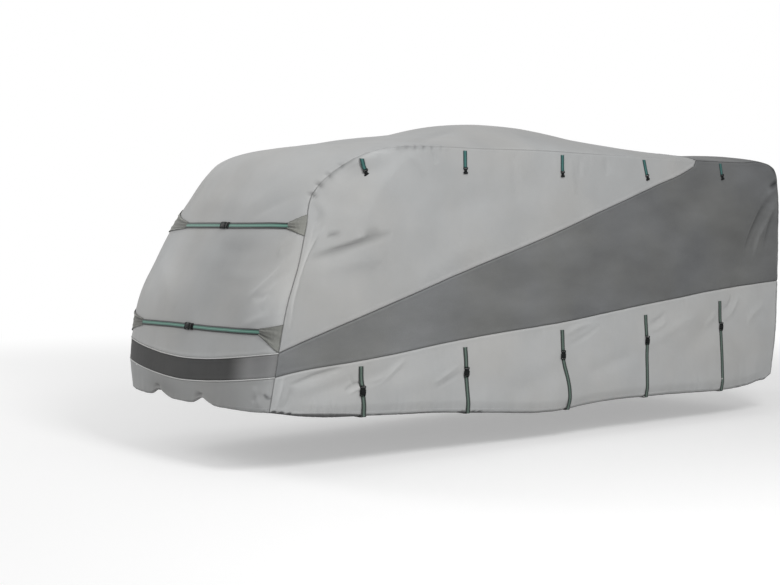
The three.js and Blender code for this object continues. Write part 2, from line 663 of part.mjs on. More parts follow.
function bodyStrap(strap, number) {
  const buckle = buckles.body;
  const reach = buckle.length / 2 + seamGap;
  const { width, thickness } = webbing;
  const upperX = (z) => strap.x + ((strap.buckleX - strap.x) * (strap.z - z)) / (strap.z - strap.buckleZ);
  const upper = stepsBetween(strap.z, strap.buckleZ + reach, webbing.step)
    .map((z, k) => sideStation(-1, upperX(z), z, width, thickness, strapGap, k === 0 ? 0 : webbing.step / 2));
  addMesh("body_strap_upper_" + number, bandSolid(upper), strapWeb);

  const middle = sideStation(-1, strap.buckleX, strap.buckleZ, buckle.width, 0, 0, buckle.length / 2);
  const down = new THREE.Vector3(0, 0, -1);
  const solid = buckleSolid(buckle, middle.at, down, backward, middle.out);
  addMesh("body_buckle_" + number, solid, blackPlastic);

  const hemZ = hemHeight(strap.hemX);
  const hemOut = faceOut(strap.hemX, hemZ + hemClear);
  const lowerX = (z) => {
    const share = (strap.buckleZ - z) / (strap.buckleZ - hemZ);
    const swing = strap.swing * Math.sin(Math.PI * share ** swingPower);
    return strap.buckleX + (strap.hemX - strap.buckleX) * share + swing;
  };
  const sideRun = (side, topZ) => stepsBetween(topZ, hemZ + hemClear, webbing.step)
    .map((z) => {
      const x = z > strap.buckleZ ? upperX(z) : lowerX(z);
      return sideStation(side, x, z, width, thickness, strapGap, webbing.step / 2);
    });
  const turn = (side) => ({
    at: new THREE.Vector3(strap.hemX, side * (hemOut - hemClear), hemZ - underDrop + hemClear),
    across: backward,
    out: new THREE.Vector3(0, side * Math.SQRT1_2, -Math.SQRT1_2),
    width,
    thickness,
    gap: strapGap,
  });
  const under = underShares.map((share) => ({
    at: new THREE.Vector3(strap.hemX, share * hemOut, hemZ - underDrop),
    across: backward,
    out: new THREE.Vector3(0, 0, -1),
    width,
    thickness,
    gap: 0,
  }));
  const stations = [
    ...sideRun(-1, strap.buckleZ - reach),
    turn(-1),
    ...under,
    turn(1),
    ...sideRun(1, strap.z).reverse(),
  ];
  addMesh("body_strap_" + number, bandSolid(stations), strapWeb);
}

bodyStraps.forEach((strap, n) => bodyStrap(strap, n + 1));

export default group;
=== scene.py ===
import math
from types import SimpleNamespace

import bmesh
import bpy
import numpy as np
from mathutils import Matrix, Vector, noise


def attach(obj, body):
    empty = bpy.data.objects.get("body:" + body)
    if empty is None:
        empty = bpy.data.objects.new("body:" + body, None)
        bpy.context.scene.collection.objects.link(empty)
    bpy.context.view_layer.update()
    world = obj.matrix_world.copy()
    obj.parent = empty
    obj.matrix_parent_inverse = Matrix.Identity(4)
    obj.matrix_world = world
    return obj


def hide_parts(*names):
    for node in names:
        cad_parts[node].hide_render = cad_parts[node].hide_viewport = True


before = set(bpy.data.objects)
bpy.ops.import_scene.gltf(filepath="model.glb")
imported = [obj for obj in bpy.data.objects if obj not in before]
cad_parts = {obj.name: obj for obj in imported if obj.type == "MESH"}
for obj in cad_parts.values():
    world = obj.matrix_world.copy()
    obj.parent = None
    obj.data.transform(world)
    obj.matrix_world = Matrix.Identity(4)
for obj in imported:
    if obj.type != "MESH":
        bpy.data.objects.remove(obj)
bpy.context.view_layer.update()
print("frame loaded with", len(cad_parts), "nodes")

# Tables are in millimetres. Heights are above the ground, x runs to the back, the near side is at -y.
millimetre = 0.001
carryHeight = 2760
halfWidth = 1100
clothThickness = 2.2
# The cover's middle and the camera, in the frame's metres. The lens and its sensor are in millimetres.
coverMiddle = (0, 0, -1.35)
camera = {
    "place": (-8.171, -9.124, -0.955), "tilt": -0.046, "turn": -0.667,
    "lens": 61.15, "sensor": 36, "reach": 200,
}

# Sections of the strip that runs up the front, over the roof and down the back.
# x, z, y: the seam. bow, lean: how far the middle stands out, and which way. round: 3 is flat with round
# corners. dip: how far the middle hangs below the seam.
sectionColumns = ("x", "z", "y", "bow", "lean", "round", "dip")
sections = {
    "frontHem": (-2911, 480, 1020, 160, 180, 3.0, 0),
    "bandLow": (-2896, 743, 1074, 182, 180, 3.0, 90),
    "bandTop": (-2872, 919, 1088, 182, 180, 3.0, 95),
    "frontLow": (-2783, 1303, 1090, 180, 180, 3.0, 0),
    "frontMiddle": (-2666, 1560, 1049, 176, 180, 3.0, 0),
    "frontHigh": (-2559, 1811, 982, 176, 180, 2.9, 0),
    "shoulderLow": (-2428, 2090, 892, 173, 164, 1.85, 0),
    "shoulder": (-2308, 2226, 916, 198, 138, 1.45, 0),
    "shoulderHigh": (-2129, 2369, 1036, 121, 116, 1.35, 0),
    "roofFront": (-1780, 2462, 1098, 64, 99, 1.45, 0),
    "roofRise": (-1375, 2478, 1100, 122, 90, 1.25, 0),
    "humpFoot": (-890, 2480, 1100, 182, 90, 1.25, 0),
    "humpFront": (-490, 2484, 1100, 262, 90, 1.25, 0),
    "humpBack": (110, 2484, 1100, 280, 90, 1.25, 0),
    "humpFall": (610, 2480, 1100, 214, 90, 1.25, 0),
    "roofBack": (1410, 2474, 1100, 138, 90, 1.25, 0),
    "roofSeam": (1800, 2472, 1100, 114, 90, 1.25, 0),
    "roofEnd": (2500, 2470, 1100, 102, 90, 1.25, 0),
    "cornerTop": (2826, 2480, 1100, 96, 82, 1.4, 0),
    "corner": (3014, 2412, 1099, 78, 42, 2.0, 0),
    "backTop": (3074, 2180, 1098, 70, 6, 2.7, 0),
    "backHigh": (3082, 1800, 1098, 68, 0, 3.0, 0),
    "backSeam": (3082, 1316, 1098, 66, 0, 3.0, 0),
    "backLow": (3068, 800, 1096, 62, 0, 3.0, 0),
    "backHem": (3038, 380, 1070, 50, 0, 3.0, 0),
}
hemNotches = [{"y": -300, "width": 95, "rise": 52}, {"y": 375, "width": 110, "rise": 56}]
notchFade = 170
dipPower = 1.7

sideHem = [
    (-2700, 443), (-1980, 385), (-1240, 349), (-850, 313), (-30, 256), (400, 282),
    (1750, 281), (2200, 268), (2670, 291), (2860, 322), (2965, 331),
]
lowerSeam = [(-2755, 766), (-2200, 816), (-1090, 933), (-20, 1020), (1100, 1139), (2320, 1262)]
upperSeam = [(-2656, 990), (-2100, 1163), (-1092, 1476), (-37, 1797), (1195, 2208), (1690, 2374)]
upperSeamTip = (1772, 2412)
sideLimits = {
    "frontReach": 480, "backReach": 320, "tuck": 22, "tuckReach": 110, "roofFade": 260, "roof": 2470,
}

# Folds, one to a row: the half width, the depth (a ridge, or under 0 a trough), the tone, and the places it
# runs through. The tone is painted shade: how much darker the cloth is painted along the fold, as the shade
# in its hollow; under 0 it is a painted highlight on a ridge. The main folds have the same places on both
# sides. The rest differ from side to side.
mainFolds = [
    (110, -16, 0, (-2400, 2120), (-1900, 1780)),
    (130, 14, 0, (-2330, 1950), (-1960, 1560)),
    (70, -14, 0, (-2600, 620), (-1700, 740)),
    (90, 12, 0, (-2000, 560), (-900, 790)),
    (100, -10, 0, (-700, 420), (300, 700)),
    (110, -12, 0, (1500, 620), (2300, 1040)),
    (130, -14, 0, (2380, 1180), (2930, 2250)),
]
nearFolds = [
    (14, 16, -0.27, (-2783, 1080), (-2745, 1305), (-2668, 1485), (-2562, 1660), (-2400, 1850)),
    (12, -9, 0.1, (-2690, 1420), (-2590, 1600), (-2470, 1760), (-2390, 1900)),
    (12, 9, -0.12, (-2640, 1560), (-2540, 1740), (-2470, 1880)),
    (27, -17, 0.33, (-2560, 1605), (-2336, 1668), (-2159, 1720), (-1990, 1762), (-1840, 1790)),
    (13, 5, -0.08, (-2500, 1645), (-2336, 1700), (-2170, 1752), (-2010, 1805)),
    (32, -7, 0.14, (-2110, 1770), (-2030, 1800), (-1950, 1800)),
    (62, 7, 0, (-2600, 1500), (-2303, 1560), (-2086, 1590), (-1880, 1590)),
    (26, -9, 0.14, (-2440, 2030), (-2400, 1950), (-2450, 1870)),
    (16, -11, 0.3, (-2400, 1772), (-2290, 1792)),
    (50, 6, 0, (-2460, 1900), (-2250, 1930), (-2050, 1900)),
    (46, 8, -0.05, (-2330, 2080), (-2180, 2220), (-2030, 2310), (-1820, 2370)),
    (32, 5, -0.34, (-2270, 2215), (-2130, 2330), (-1960, 2400), (-1750, 2440)),
    (30, 5, 0, (-1700, 2420), (-1560, 2330), (-1500, 2240)),
    (24, -5, 0, (-1420, 2440), (-1380, 2340)),
    (17, 12, -0.16, (-2826, 745), (-2850, 600), (-2872, 480)),
    (22, -7, 0.04, (-2740, 660), (-2760, 560), (-2790, 500)),
    (20, -10, 0.11, (-2770, 670), (-2556, 730), (-2320, 775)),
    (44, 6, 0, (-2740, 620), (-2480, 672), (-2250, 710)),
    (24, 9, -0.06, (-2060, 620), (-1899, 681), (-1700, 810)),
    (12, -7, 0.15, (-2290, 600), (-2200, 640), (-2100, 665)),
    (11, 6, -0.1, (-2270, 570), (-2180, 606), (-2060, 630)),
    (10, -5, 0.1, (-2230, 725), (-2200, 660), (-2150, 640)),
    (14, -6, 0.06, (-2080, 630), (-1960, 650), (-1840, 730)),
    (16, 6, -0.05, (-1430, 600), (-1299, 657), (-1150, 725)),
    (14, -5, 0.08, (-1400, 560), (-1240, 620), (-1120, 670)),
    (24, 6, 0, (60, 905), (240, 975), (420, 1000)),
    (18, -5, 0.06, (100, 820), (330, 895), (520, 980)),
    (44, 5, 0, (960, 720), (1312, 830), (1593, 930), (1900, 1040)),
    (15, -7, 0.1, (1160, 960), (1260, 985), (1400, 1060)),
    (15, 6, -0.06, (1150, 900), (1300, 925), (1420, 990)),
    (26, 6, 0, (2220, 960), (2330, 1000), (2480, 1180)),
    (24, 5, 0, (1960, 900), (2060, 960), (2140, 1040)),
    (14, -6, 0.1, (2230, 1060), (2320, 1100), (2360, 1190)),
    (60, -6, 0, (300, 540), (700, 640), (1060, 715)),
    (40, 6, 0, (2600, 900), (2740, 1020), (2900, 1090)),
    (24, -15, 0.34, (3050, 2190), (2860, 2050), (2700, 1850), (2560, 1620)),
    (22, 14, -0.3, (3060, 2110), (2900, 1930), (2760, 1730), (2700, 1560)),
    (26, -9, 0.24, (3050, 2040), (2940, 1860), (2860, 1640)),
    (16, 10, -0.32, (3120, 2310), (2950, 2205), (2790, 2120)),
    (15, -12, 0.85, (3200, 2400), (3080, 2318), (2925, 2228)),
    (13, -9, 0.8, (2925, 2490), (2978, 2432), (3042, 2370)),
    (22, 7, 0, (2940, 2440), (2840, 2380)),
    (42, -5, 0, (-560, 2460), (-530, 2250), (-480, 2050)),
    (30, 5, 0, (120, 2460), (150, 2260), (190, 2120)),
    (26, -5, 0, (230, 2460), (250, 2280)),
    (30, -5, 0, (560, 2460), (600, 2300)),
    (90, 7, 0, (-1700, 1330), (-1200, 1600), (-700, 1750)),
    (120, -7, 0, (-1500, 1900), (-900, 2050), (-300, 2100)),
]
farFolds = [
    (32, 8, 0, (-2792, 941), (-2729, 1305), (-2600, 1585), (-2450, 1800)),
    (30, -10, 0, (-2500, 1560), (-2200, 1700), (-1900, 1760)),
    (28, 8, 0, (-2300, 560), (-1900, 640), (-1500, 800)),
    (34, -7, 0, (-500, 480), (-100, 640), (400, 760)),
    (36, 7, 0, (1100, 700), (1700, 900), (2300, 1000)),
    (36, -10, 0, (2980, 2180), (2700, 1900), (2500, 1650)),
    (36, -5, 0, (-300, 2460), (-250, 2200), (-160, 2000)),
    (30, 5, 0, (900, 2460), (950, 2250)),
    (110, 7, 0, (-1300, 1500), (-700, 1800), (0, 2000)),
]
# On the front the places are (y, height), on the roof (y, x), on the back (y, height).
stripFolds = {
    "front": [
        (24, 9, -0.05, (-1010, 1660), (-960, 1520), (-850, 1390), (-740, 1310)),
        (30, 8, 0, (-1050, 1500), (-990, 1380), (-930, 1240)),
        (24, -5, 0, (-1010, 1350), (-880, 1320), (-800, 1315)),
        (28, 6, 0, (-1020, 1210), (-900, 1160), (-740, 1130)),
        (22, 7, 0, (-940, 1760), (-900, 1690), (-910, 1610)),
        (26, -9, 0, (590, 2290), (710, 2181), (790, 2060)),
        (40, 6, 0, (480, 2290), (620, 2150), (700, 2010)),
        (80, -8, 0, (60, 1720), (-435, 1650), (-800, 1690)),
        (130, -10, 0, (400, 1290), (-344, 1262), (-820, 1235)),
        (90, 8, 0, (800, 1560), (500, 1400), (250, 1200)),
        (80, 7, 0, (500, 1990), (171, 2030), (-300, 2000)),
        (60, 6, 0, (-250, 1960), (-560, 2080), (-760, 2190)),
        (36, -6, 0, (-420, 1900), (-640, 1990), (-830, 2060)),
        (60, 6, 0, (-300, 1500), (-620, 1460), (-860, 1500)),
        (22, -7, 0, (-1000, 640), (-940, 560)),
        (20, 6, 0, (-960, 690), (-990, 520)),
        (9, -3, 0.6, (-1028, 632), (-1046, 580)),
        (34, -12, 0, (-300, 600), (-260, 520)),
        (34, -10, 0, (380, 610), (400, 520)),
    ],
    "roof": [
        (70, -8, 0, (-1000, -1500), (-560, -900), (-380, -500)),
        (70, -8, 0, (1000, -1450), (600, -900), (420, -520)),
        (80, -8, 0, (-1000, 1500), (-520, 900), (-380, 250)),
        (80, -8, 0, (980, 1400), (560, 820), (400, 240)),
        (60, 6, 0, (-800, -1900), (0, -1820), (820, -1900)),
        (70, -6, 0, (-900, 2300), (-100, 2180), (880, 2320)),
    ],
    "back": [
        (60, -9, 0, (-1050, 2240), (-700, 1900), (-560, 1500)),
        (60, -9, 0, (1040, 2220), (760, 1880), (640, 1480)),
        (80, 7, 0, (-500, 1250), (100, 1100), (700, 1200)),
        (60, -7, 0, (-800, 900), (-300, 640), (200, 460)),
        (50, 6, 0, (900, 860), (560, 620), (300, 460)),
    ],
}
# Gathers of the elastic hem: from and to along x, the pitch, and how deep they are.
hemGathers = [
    (-2760, -2240, 74, 5), (-1900, -1150, 92, 3), (-1000, 300, 150, 3), (900, 2900, 190, 3),
]
# Soft clouds of painted shade on the front: y and height, how far they reach in each, and how much darker
# they are painted; under 0 they are painted highlights.
paintedFrontShades = [
    (-330, 1500, 420, 260, 0.2), (-650, 1180, 240, 150, 0.12), (40, 1180, 300, 130, 0.1),
    (620, 1540, 280, 260, -0.12), (-1000, 1340, 180, 240, -0.22), (-100, 980, 900, 110, 0.05),
    (-300, 2250, 900, 280, -0.12), (-1020, 620, 230, 170, -0.2), (250, 560, 260, 90, 0.14),
]
cloudFade = 300
# The side's hem has a painted shadow where its edge curls under: from and to along x, the height, the tone,
# and the pitch of its scallops. Where the pitch is 0, the painted shadow is one lens, highest in its middle.
hemShades = [
    (-2925, -2730, 24, 0.85, 66), (-2740, -2110, 30, 0.8, 0), (-2110, -1900, 12, 0.7, 105),
    (-1950, -1150, 11, 0.6, 0), (-1130, -860, 24, 0.8, 62), (-860, 330, 10, 0.55, 0), (330, 2000, 9, 0.55, 0),
    (2480, 2960, 14, 0.6, 88),
]
# The seed keeps the drift the same in every run.
drift = {"seed": 1795621983, "wide": 620, "wideDepth": 5.0, "fine": 170, "fineDepth": 1.5}
noise.seed_set(drift["seed"])
seamShape = {
    "groove": 4.6, "grooveWidth": 7, "lip": 2.0, "lipPlace": 19, "lipWidth": 10, "cornerClear": 26,
    "pucker": 2.0, "puckerReach": 46, "puckerStart": 9, "onRoof": 0.12, "roofStart": 60, "roofRise": 240,
    "roofFall": 300, "shoulderPucker": 17, "shoulderPitch": 94, "shoulderPlace": 12, "shoulderReach": 27,
    "shoulderFade": 110, "shoulderSharp": 2.4,
}
# Where the puckers of the rounded shoulder are, and of the roof seam behind it: from, to and their strength.
puckerRuns = [("frontHigh", 200, "shoulderHigh", -20, 1.0), ("roofFront", -120, "roofRise", 160, 0.5)]
foldGain = {"near": 1.7, "far": 1.5, "strip": 1.7}
# How near the seams the folds die out.
foldFree = {"strip": 55, "side": 50, "roof": 60}
hemShape = {
    "width": 30, "rise": 1.8, "step": 3, "line": 1.6, "lineIn": 4, "lineWidth": 7, "stitch": 6.5, "turn": 20,
    "turnReach": 24, "waveReach": 95, "seamFade": 20, "sway": (1.4, 0.37, 0.45, 1.93, 1.1),
}
# At the hem of the strip and of the sides: the depth and pitch of the soft waves, and their gap to the seams.
hemWaves = {"strip": (2, 170, 40), "side": (1, 300, 60)}
gatherShape = {"fade": 120, "reach": 85, "shift": 37, "sway": (1.6, 0.31, 0.5, 1.83, 0.7)}
scallops = {"least": 0.25, "edge": 7, "lens": 0.6, "most": 0.85}
# How far apart the front's and the roof's rows are, and how many columns and samples of an edge there are.
grid = {"front": 14, "roof": 32, "columns": 150, "edgeShare": 0.45, "edgeSamples": 160}


def smoothValues(places, values, at):
    places, values = np.asarray(places, float), np.asarray(values, float)
    gaps = np.diff(places)
    steps = np.diff(values) / gaps
    inner = (steps[:-1] * gaps[1:] + steps[1:] * gaps[:-1]) / (gaps[:-1] + gaps[1:])
    slopes = np.concatenate([steps[:1], inner, steps[-1:]])
    i = np.clip(np.searchsorted(places, at) - 1, 0, len(gaps) - 1)
    t = np.clip((at - places[i]) / gaps[i], 0, 1)
    curve = values[i] * (1 + 2 * t) * (1 - t) ** 2 + values[i + 1] * t * t * (3 - 2 * t)
    return curve + gaps[i] * (slopes[i] * t * (1 - t) ** 2 - slopes[i + 1] * t * t * (1 - t))


def runLengths(points):
    return np.concatenate([[0], np.cumsum(np.hypot(*np.diff(np.asarray(points, float), axis=0).T))])


sectionRows = np.array(list(sections.values()), float)
sectionTable = dict(zip(sectionColumns, sectionRows.T))
sectionPlaces = runLengths(np.stack([sectionTable["x"], sectionTable["z"]], axis=1))
placeOf = dict(zip(sections, sectionPlaces))


def sectionValues(s, *keys):
    return [smoothValues(sectionPlaces, sectionTable[key], s) for key in keys]


# Dense samples of the seam, to look up a place by its height or its x.
seamRun = np.linspace(0, sectionPlaces[-1], 4000)
seamX, seamZ = sectionValues(seamRun, "x", "z")
onFront = seamRun <= placeOf["humpFront"]
onRoof = (seamRun >= placeOf["roofFront"]) & (seamRun <= placeOf["roofEnd"])
onBack = seamRun >= placeOf["roofEnd"]
lookUp = {
    "front": lambda value: np.interp(value, seamZ[onFront], seamRun[onFront]),
    "roof": lambda value: np.interp(value, seamX[onRoof], seamRun[onRoof]),
    "back": lambda value: np.interp(value, seamZ[onBack][::-1], seamRun[onBack][::-1]),
}


def fade(t):
    c = np.clip(t, 0, 1)
    return (1 - c) ** 2 * (1 + 2 * c)


def upTo(t):
    return np.clip(t, 0, 1)


# Distance of places to a line, and how far along it the nearest point is.
def toLine(u, w, line):
    shape = np.shape(u)
    places = np.stack([np.ravel(u), np.ravel(w)], axis=1)
    line = np.asarray(line, float)
    runs = runLengths(line)
    best, along = np.full(len(places), 1e9), np.zeros(len(places))
    for k in range(len(line) - 1):
        step = line[k + 1] - line[k]
        t = upTo(((places - line[k]) @ step) / (step @ step))
        gap = np.hypot(*(places - line[k] - t[:, None] * step).T)
        closer = gap < best
        best = np.where(closer, gap, best)
        along = np.where(closer, runs[k] + t * (runs[k + 1] - runs[k]), along)
    return best.reshape(shape), along.reshape(shape)


def smoothLine(points, count=24):
    points = np.asarray(points, float)
    if len(points) < 3:
        return points
    runs = runLengths(points)
    at = np.linspace(0, runs[-1], count)
    return np.stack([smoothValues(runs, column, at) for column in points.T], axis=1)


# The depths of all folds, or their tones of painted shade and painted highlight, at places on a panel.
def foldSum(u, w, folds, ofTone=False):
    total = np.zeros(np.shape(u))
    for width, depth, tone, *places in folds:
        amount = tone if ofTone else depth
        line = smoothLine(places)
        low, high = line.min(axis=0) - 3 * width, line.max(axis=0) + 3 * width
        near = (u > low[0]) & (u < high[0]) & (w > low[1]) & (w < high[1])
        if amount and near.any():
            gap, along = toLine(u[near], w[near], line)
            taper = np.sin(np.pi * upTo(along / runLengths(line)[-1])) ** 0.7
            total[near] += amount * taper * np.exp(-(gap / width) ** 2)
    return total


# The strip's own surface: s runs along it from the front hem, v across it from -1 at the near seam to 1.
def stripBase(s, v):
    x, z, y, bow, lean, roundness, dip = sectionValues(s, *sectionColumns)
    rise = bow * np.maximum(0, 1 - v * v) ** (1 / roundness)
    angle = np.radians(lean)
    out = v * y
    notch = sum(n["rise"] * np.exp(-(((out - n["y"]) / n["width"]) ** 2)) for n in hemNotches)
    sag = dip * (1 - np.abs(v) ** dipPower) - notch * np.maximum(0, 1 - s / notchFade)
    return np.stack([x + rise * np.cos(angle), out, z + rise * np.sin(angle) - sag], axis=-1)


def unitRows(vectors):
    return vectors / np.linalg.norm(vectors, axis=-1, keepdims=True)


def stripNormal(s, v):
    stepS, stepV, sideStart = 4, 0.004, 0.999
    along = stripBase(np.minimum(sectionPlaces[-1], s + stepS), v) - stripBase(np.maximum(0, s - stepS), v)
    across = stripBase(s, np.minimum(1, v + stepV)) - stripBase(s, np.maximum(-1, v - stepV))
    normal = unitRows(-np.cross(across, along))
    edge = upTo((np.abs(v) - sideStart) / 0.001)[..., None]  # at the seam the normal is the side's
    side = np.zeros_like(normal)
    side[..., 1] = np.sign(v)
    return unitRows(normal * (1 - edge) + side * edge)


def seamGapOf(s, v):
    y, bow, roundness = sectionValues(s, "y", "bow", "round")
    rise = bow * np.maximum(0, 1 - v * v) ** (1 / roundness)
    return np.hypot((1 - np.abs(v)) * y, rise)


placedFolds = [
    (width, depth, tone, *((y, float(lookUp[on](value))) for y, value in places))
    for on, folds in stripFolds.items() for width, depth, tone, *places in folds
]


# Slow drift of the whole cover, so that no seam is a perfect line. It is the same for all that lies there.
def drifted(points):
    flat = points.reshape(-1, 3)
    moved = np.empty_like(flat)
    for k, (wide, fine) in enumerate(zip(flat / drift["wide"], flat / drift["fine"])):
        slow, quick = noise.noise_vector(wide), noise.noise_vector(fine)
        moved[k] = [a * drift["wideDepth"] + b * drift["fineDepth"] for a, b in zip(slow, quick)]
    return (flat + moved).reshape(points.shape)


def stripSurface(s, v, lift=0):
    free = 1 - np.exp(-((seamGapOf(s, v) / foldFree["strip"]) ** 2))
    points = stripBase(s, v)
    out = foldGain["strip"] * foldSum(points[..., 1], s, placedFolds) * free + lift
    return drifted(points + stripNormal(s, v) * np.asarray(out)[..., None])


seamEnd = {name: (row[0], row[1]) for name, row in sections.items()}
hemPoints = [seamEnd["frontHem"], *sideHem, seamEnd["backHem"]]


def hemHeight(x):
    return smoothValues(*zip(*hemPoints), x)


# How far a side stands out at x and a height z.
def sideOut(x, z, folds):
    frontX, frontY = sectionValues(lookUp["front"](z), "x", "y")
    backX, backY = sectionValues(lookUp["back"](z), "x", "y")
    nearFront = fade((x - frontX) / sideLimits["frontReach"])
    nearBack = fade((backX - x) / sideLimits["backReach"])
    free = (1 - nearFront) * (1 - nearBack)
    tuck = sideLimits["tuck"] * fade((z - hemHeight(x)) / sideLimits["tuckReach"]) * free
    lean = (frontY - halfWidth) * nearFront + (backY - halfWidth) * nearBack
    belowRoof = sideLimits["roof"] - z
    topFade = 1 - fade(belowRoof / sideLimits["roofFade"])
    edge = np.minimum(np.abs(x - frontX), np.abs(backX - x))
    close = (1 - np.exp(-((edge / foldFree["side"]) ** 2))) * upTo(belowRoof / foldFree["roof"])
    base = halfWidth + lean - tuck + foldSum(x, z, mainFolds) * free * topFade
    gain = foldGain["near" if folds is nearFolds else "far"]
    return base + gain * foldSum(x, z, folds) * close


def sideSurface(side, x, z, lift=0):
    out = sideOut(x, z, nearFolds if side < 0 else farFolds) + lift
    return drifted(np.stack([x, side * out, z], axis=-1))


def toFrame(points):
    return (points - np.array([0, 0, carryHeight])) * millimetre


# Shares of a length with closer steps at both ends.
def edgeShares(count):
    k = np.linspace(0, 1, count + 1)
    return (1 - grid["edgeShare"]) * k + grid["edgeShare"] * (1 - np.cos(np.pi * k)) / 2


# How much of a pleat a place on the front or roof seam has, 0 to 1, by its run along the strip.
def shoulderDents(along):
    share, over = np.zeros(np.shape(along)), seamShape["shoulderFade"]
    for first, before, last, after, strength in puckerRuns:
        into, left = along - placeOf[first] - before, placeOf[last] + after - along
        share = share + strength * upTo(into / over) * upTo(left / over)
    phase = 2 * np.pi * along / seamShape["shoulderPitch"] + 1.5 * np.sin(along / 210)
    pleats = np.maximum(0, np.sin(phase)) ** seamShape["shoulderSharp"]
    return share * pleats * (0.7 + 0.3 * np.sin(along / 83))


# 0 to 1 on the way from the front seam to the roof's, where the seam is less drawn in.
def towardsRoof(s):
    low, high = placeOf["shoulderLow"] - seamShape["roofStart"], placeOf["roofEnd"]
    return upTo((s - low) / seamShape["roofRise"]) * upTo((high - s) / seamShape["roofFall"])


# How far the cloth is lifted beside a seam: a groove, a lip, small puckers and the pleats of the shoulder.
# The odd pitches of the waves keep the puckers from looking regular.
def seamLift(gap, along, clear, onStripSeam):
    shape = seamShape
    groove = -shape["groove"] * np.exp(-((gap / shape["grooveWidth"]) ** 2))
    lip = shape["lip"] * np.exp(-(((gap - shape["lipPlace"]) / shape["lipWidth"]) ** 2))
    wave = np.sin(along / 17 + 2.1 * np.sin(along / 61)) * np.sin(along / 193 + 1.3 * np.sin(along / 97))
    atSeam = 1 - np.exp(-gap / shape["puckerStart"])
    small = shape["pucker"] * wave * np.exp(-gap / shape["puckerReach"]) * atSeam
    near = np.exp(-((gap - shape["shoulderPlace"]) / shape["shoulderReach"]) ** 2)
    dents = np.where(onStripSeam, shape["shoulderPucker"] * shoulderDents(along) * near, 0)
    drawn = np.where(onStripSeam, 1 - (1 - shape["onRoof"]) * towardsRoof(along), 1)
    return (groove + lip) * drawn + (small - dents) * clear


# A wave whose pitch wanders, with a finer one on it.
def unevenWave(along, pitch, sway, slow, fine, quick, shift):
    phase = 2 * np.pi * along / pitch
    return np.sin(phase + sway * np.sin(phase * slow)) + fine * np.sin(phase * quick + shift)


# The hem: cloth turned double, a line of stitching, soft waves, gathers, and the edge curled in.
def hemmed(lift, gap, along, kind, seamGap, gathers=0):
    shape = hemShape
    depth, pitch, reach = hemWaves[kind]
    free = upTo(seamGap / reach)
    folded = shape["rise"] * upTo((shape["width"] - gap) / shape["step"])
    line = -shape["line"] * np.exp(-(((gap - shape["width"] + shape["lineIn"]) / shape["lineWidth"]) ** 2))
    hem = folded + line + depth * unevenWave(along, pitch, *shape["sway"]) * np.exp(-gap / shape["waveReach"])
    curled = shape["turn"] * fade(gap / shape["turnReach"])
    return lift * upTo(gap / shape["seamFade"]) + hem * free + gathers * free - curled * free


# The stitches of the hem are in a line of their own.
def withHemLine(fromSeam, hemGap):
    return np.minimum(fromSeam, np.abs(hemGap - hemShape["width"]) + hemShape["stitch"])


def meshFrom(bm, name):
    mesh = bpy.data.meshes.new(name)
    bm.to_mesh(mesh)
    bm.free()
    return mesh


def newObject(name, content):
    thing = bpy.data.objects.new(name, content)
    bpy.context.scene.collection.objects.link(thing)
    return thing


def newPiece(name, mesh, material):
    mesh.polygons.foreach_set("use_smooth", np.ones(len(mesh.polygons), bool))
    mesh.materials.append(material)
    return newObject(name, mesh)


def readAll(items, key):
    values = np.zeros(len(items) * 3)
    items.foreach_get(key, values)
    return values.reshape(-1, 3)


# A sheet of cloth or webbing over rows of places, with its UV map in metres and what its material reads.
def gridObject(name, points, coordinates, attributes, material, thickness=clothThickness, outward=None):
    rows, columns = points.shape[:2]
    bm = bmesh.new()
    bmesh.ops.create_grid(bm, x_segments=columns - 1, y_segments=rows - 1, size=1)
    mesh = meshFrom(bm, name)
    co = readAll(mesh.vertices, "co")
    across = np.rint((co[:, 0] + 1) / 2 * (columns - 1)).astype(int)
    along = np.rint((co[:, 1] + 1) / 2 * (rows - 1)).astype(int)
    mesh.vertices.foreach_set("co", toFrame(points)[along, across].ravel())
    mesh.update()
    for key, values in attributes.items():
        attribute = mesh.attributes.new(key, "FLOAT", "POINT")
        attribute.data.foreach_set("value", values[along, across].astype(np.float32))
    corner = np.zeros(len(mesh.loops), np.int32)
    mesh.loops.foreach_get("vertex_index", corner)
    uv = mesh.uv_layers.new(name="cloth")
    uv.data.foreach_set("uv", (coordinates[along, across][corner] * millimetre).astype(np.float32).ravel())
    if outward is None:
        outward = readAll(mesh.polygons, "center") - np.array(coverMiddle)
    if (readAll(mesh.polygons, "normal") * outward).sum() < 0:
        mesh.flip_normals()
    piece = newPiece(name, mesh, material)
    solid = piece.modifiers.new("cloth thickness", "SOLIDIFY")
    solid.thickness = thickness * millimetre
    solid.offset = -1
    solid.use_even_offset = False
    return piece


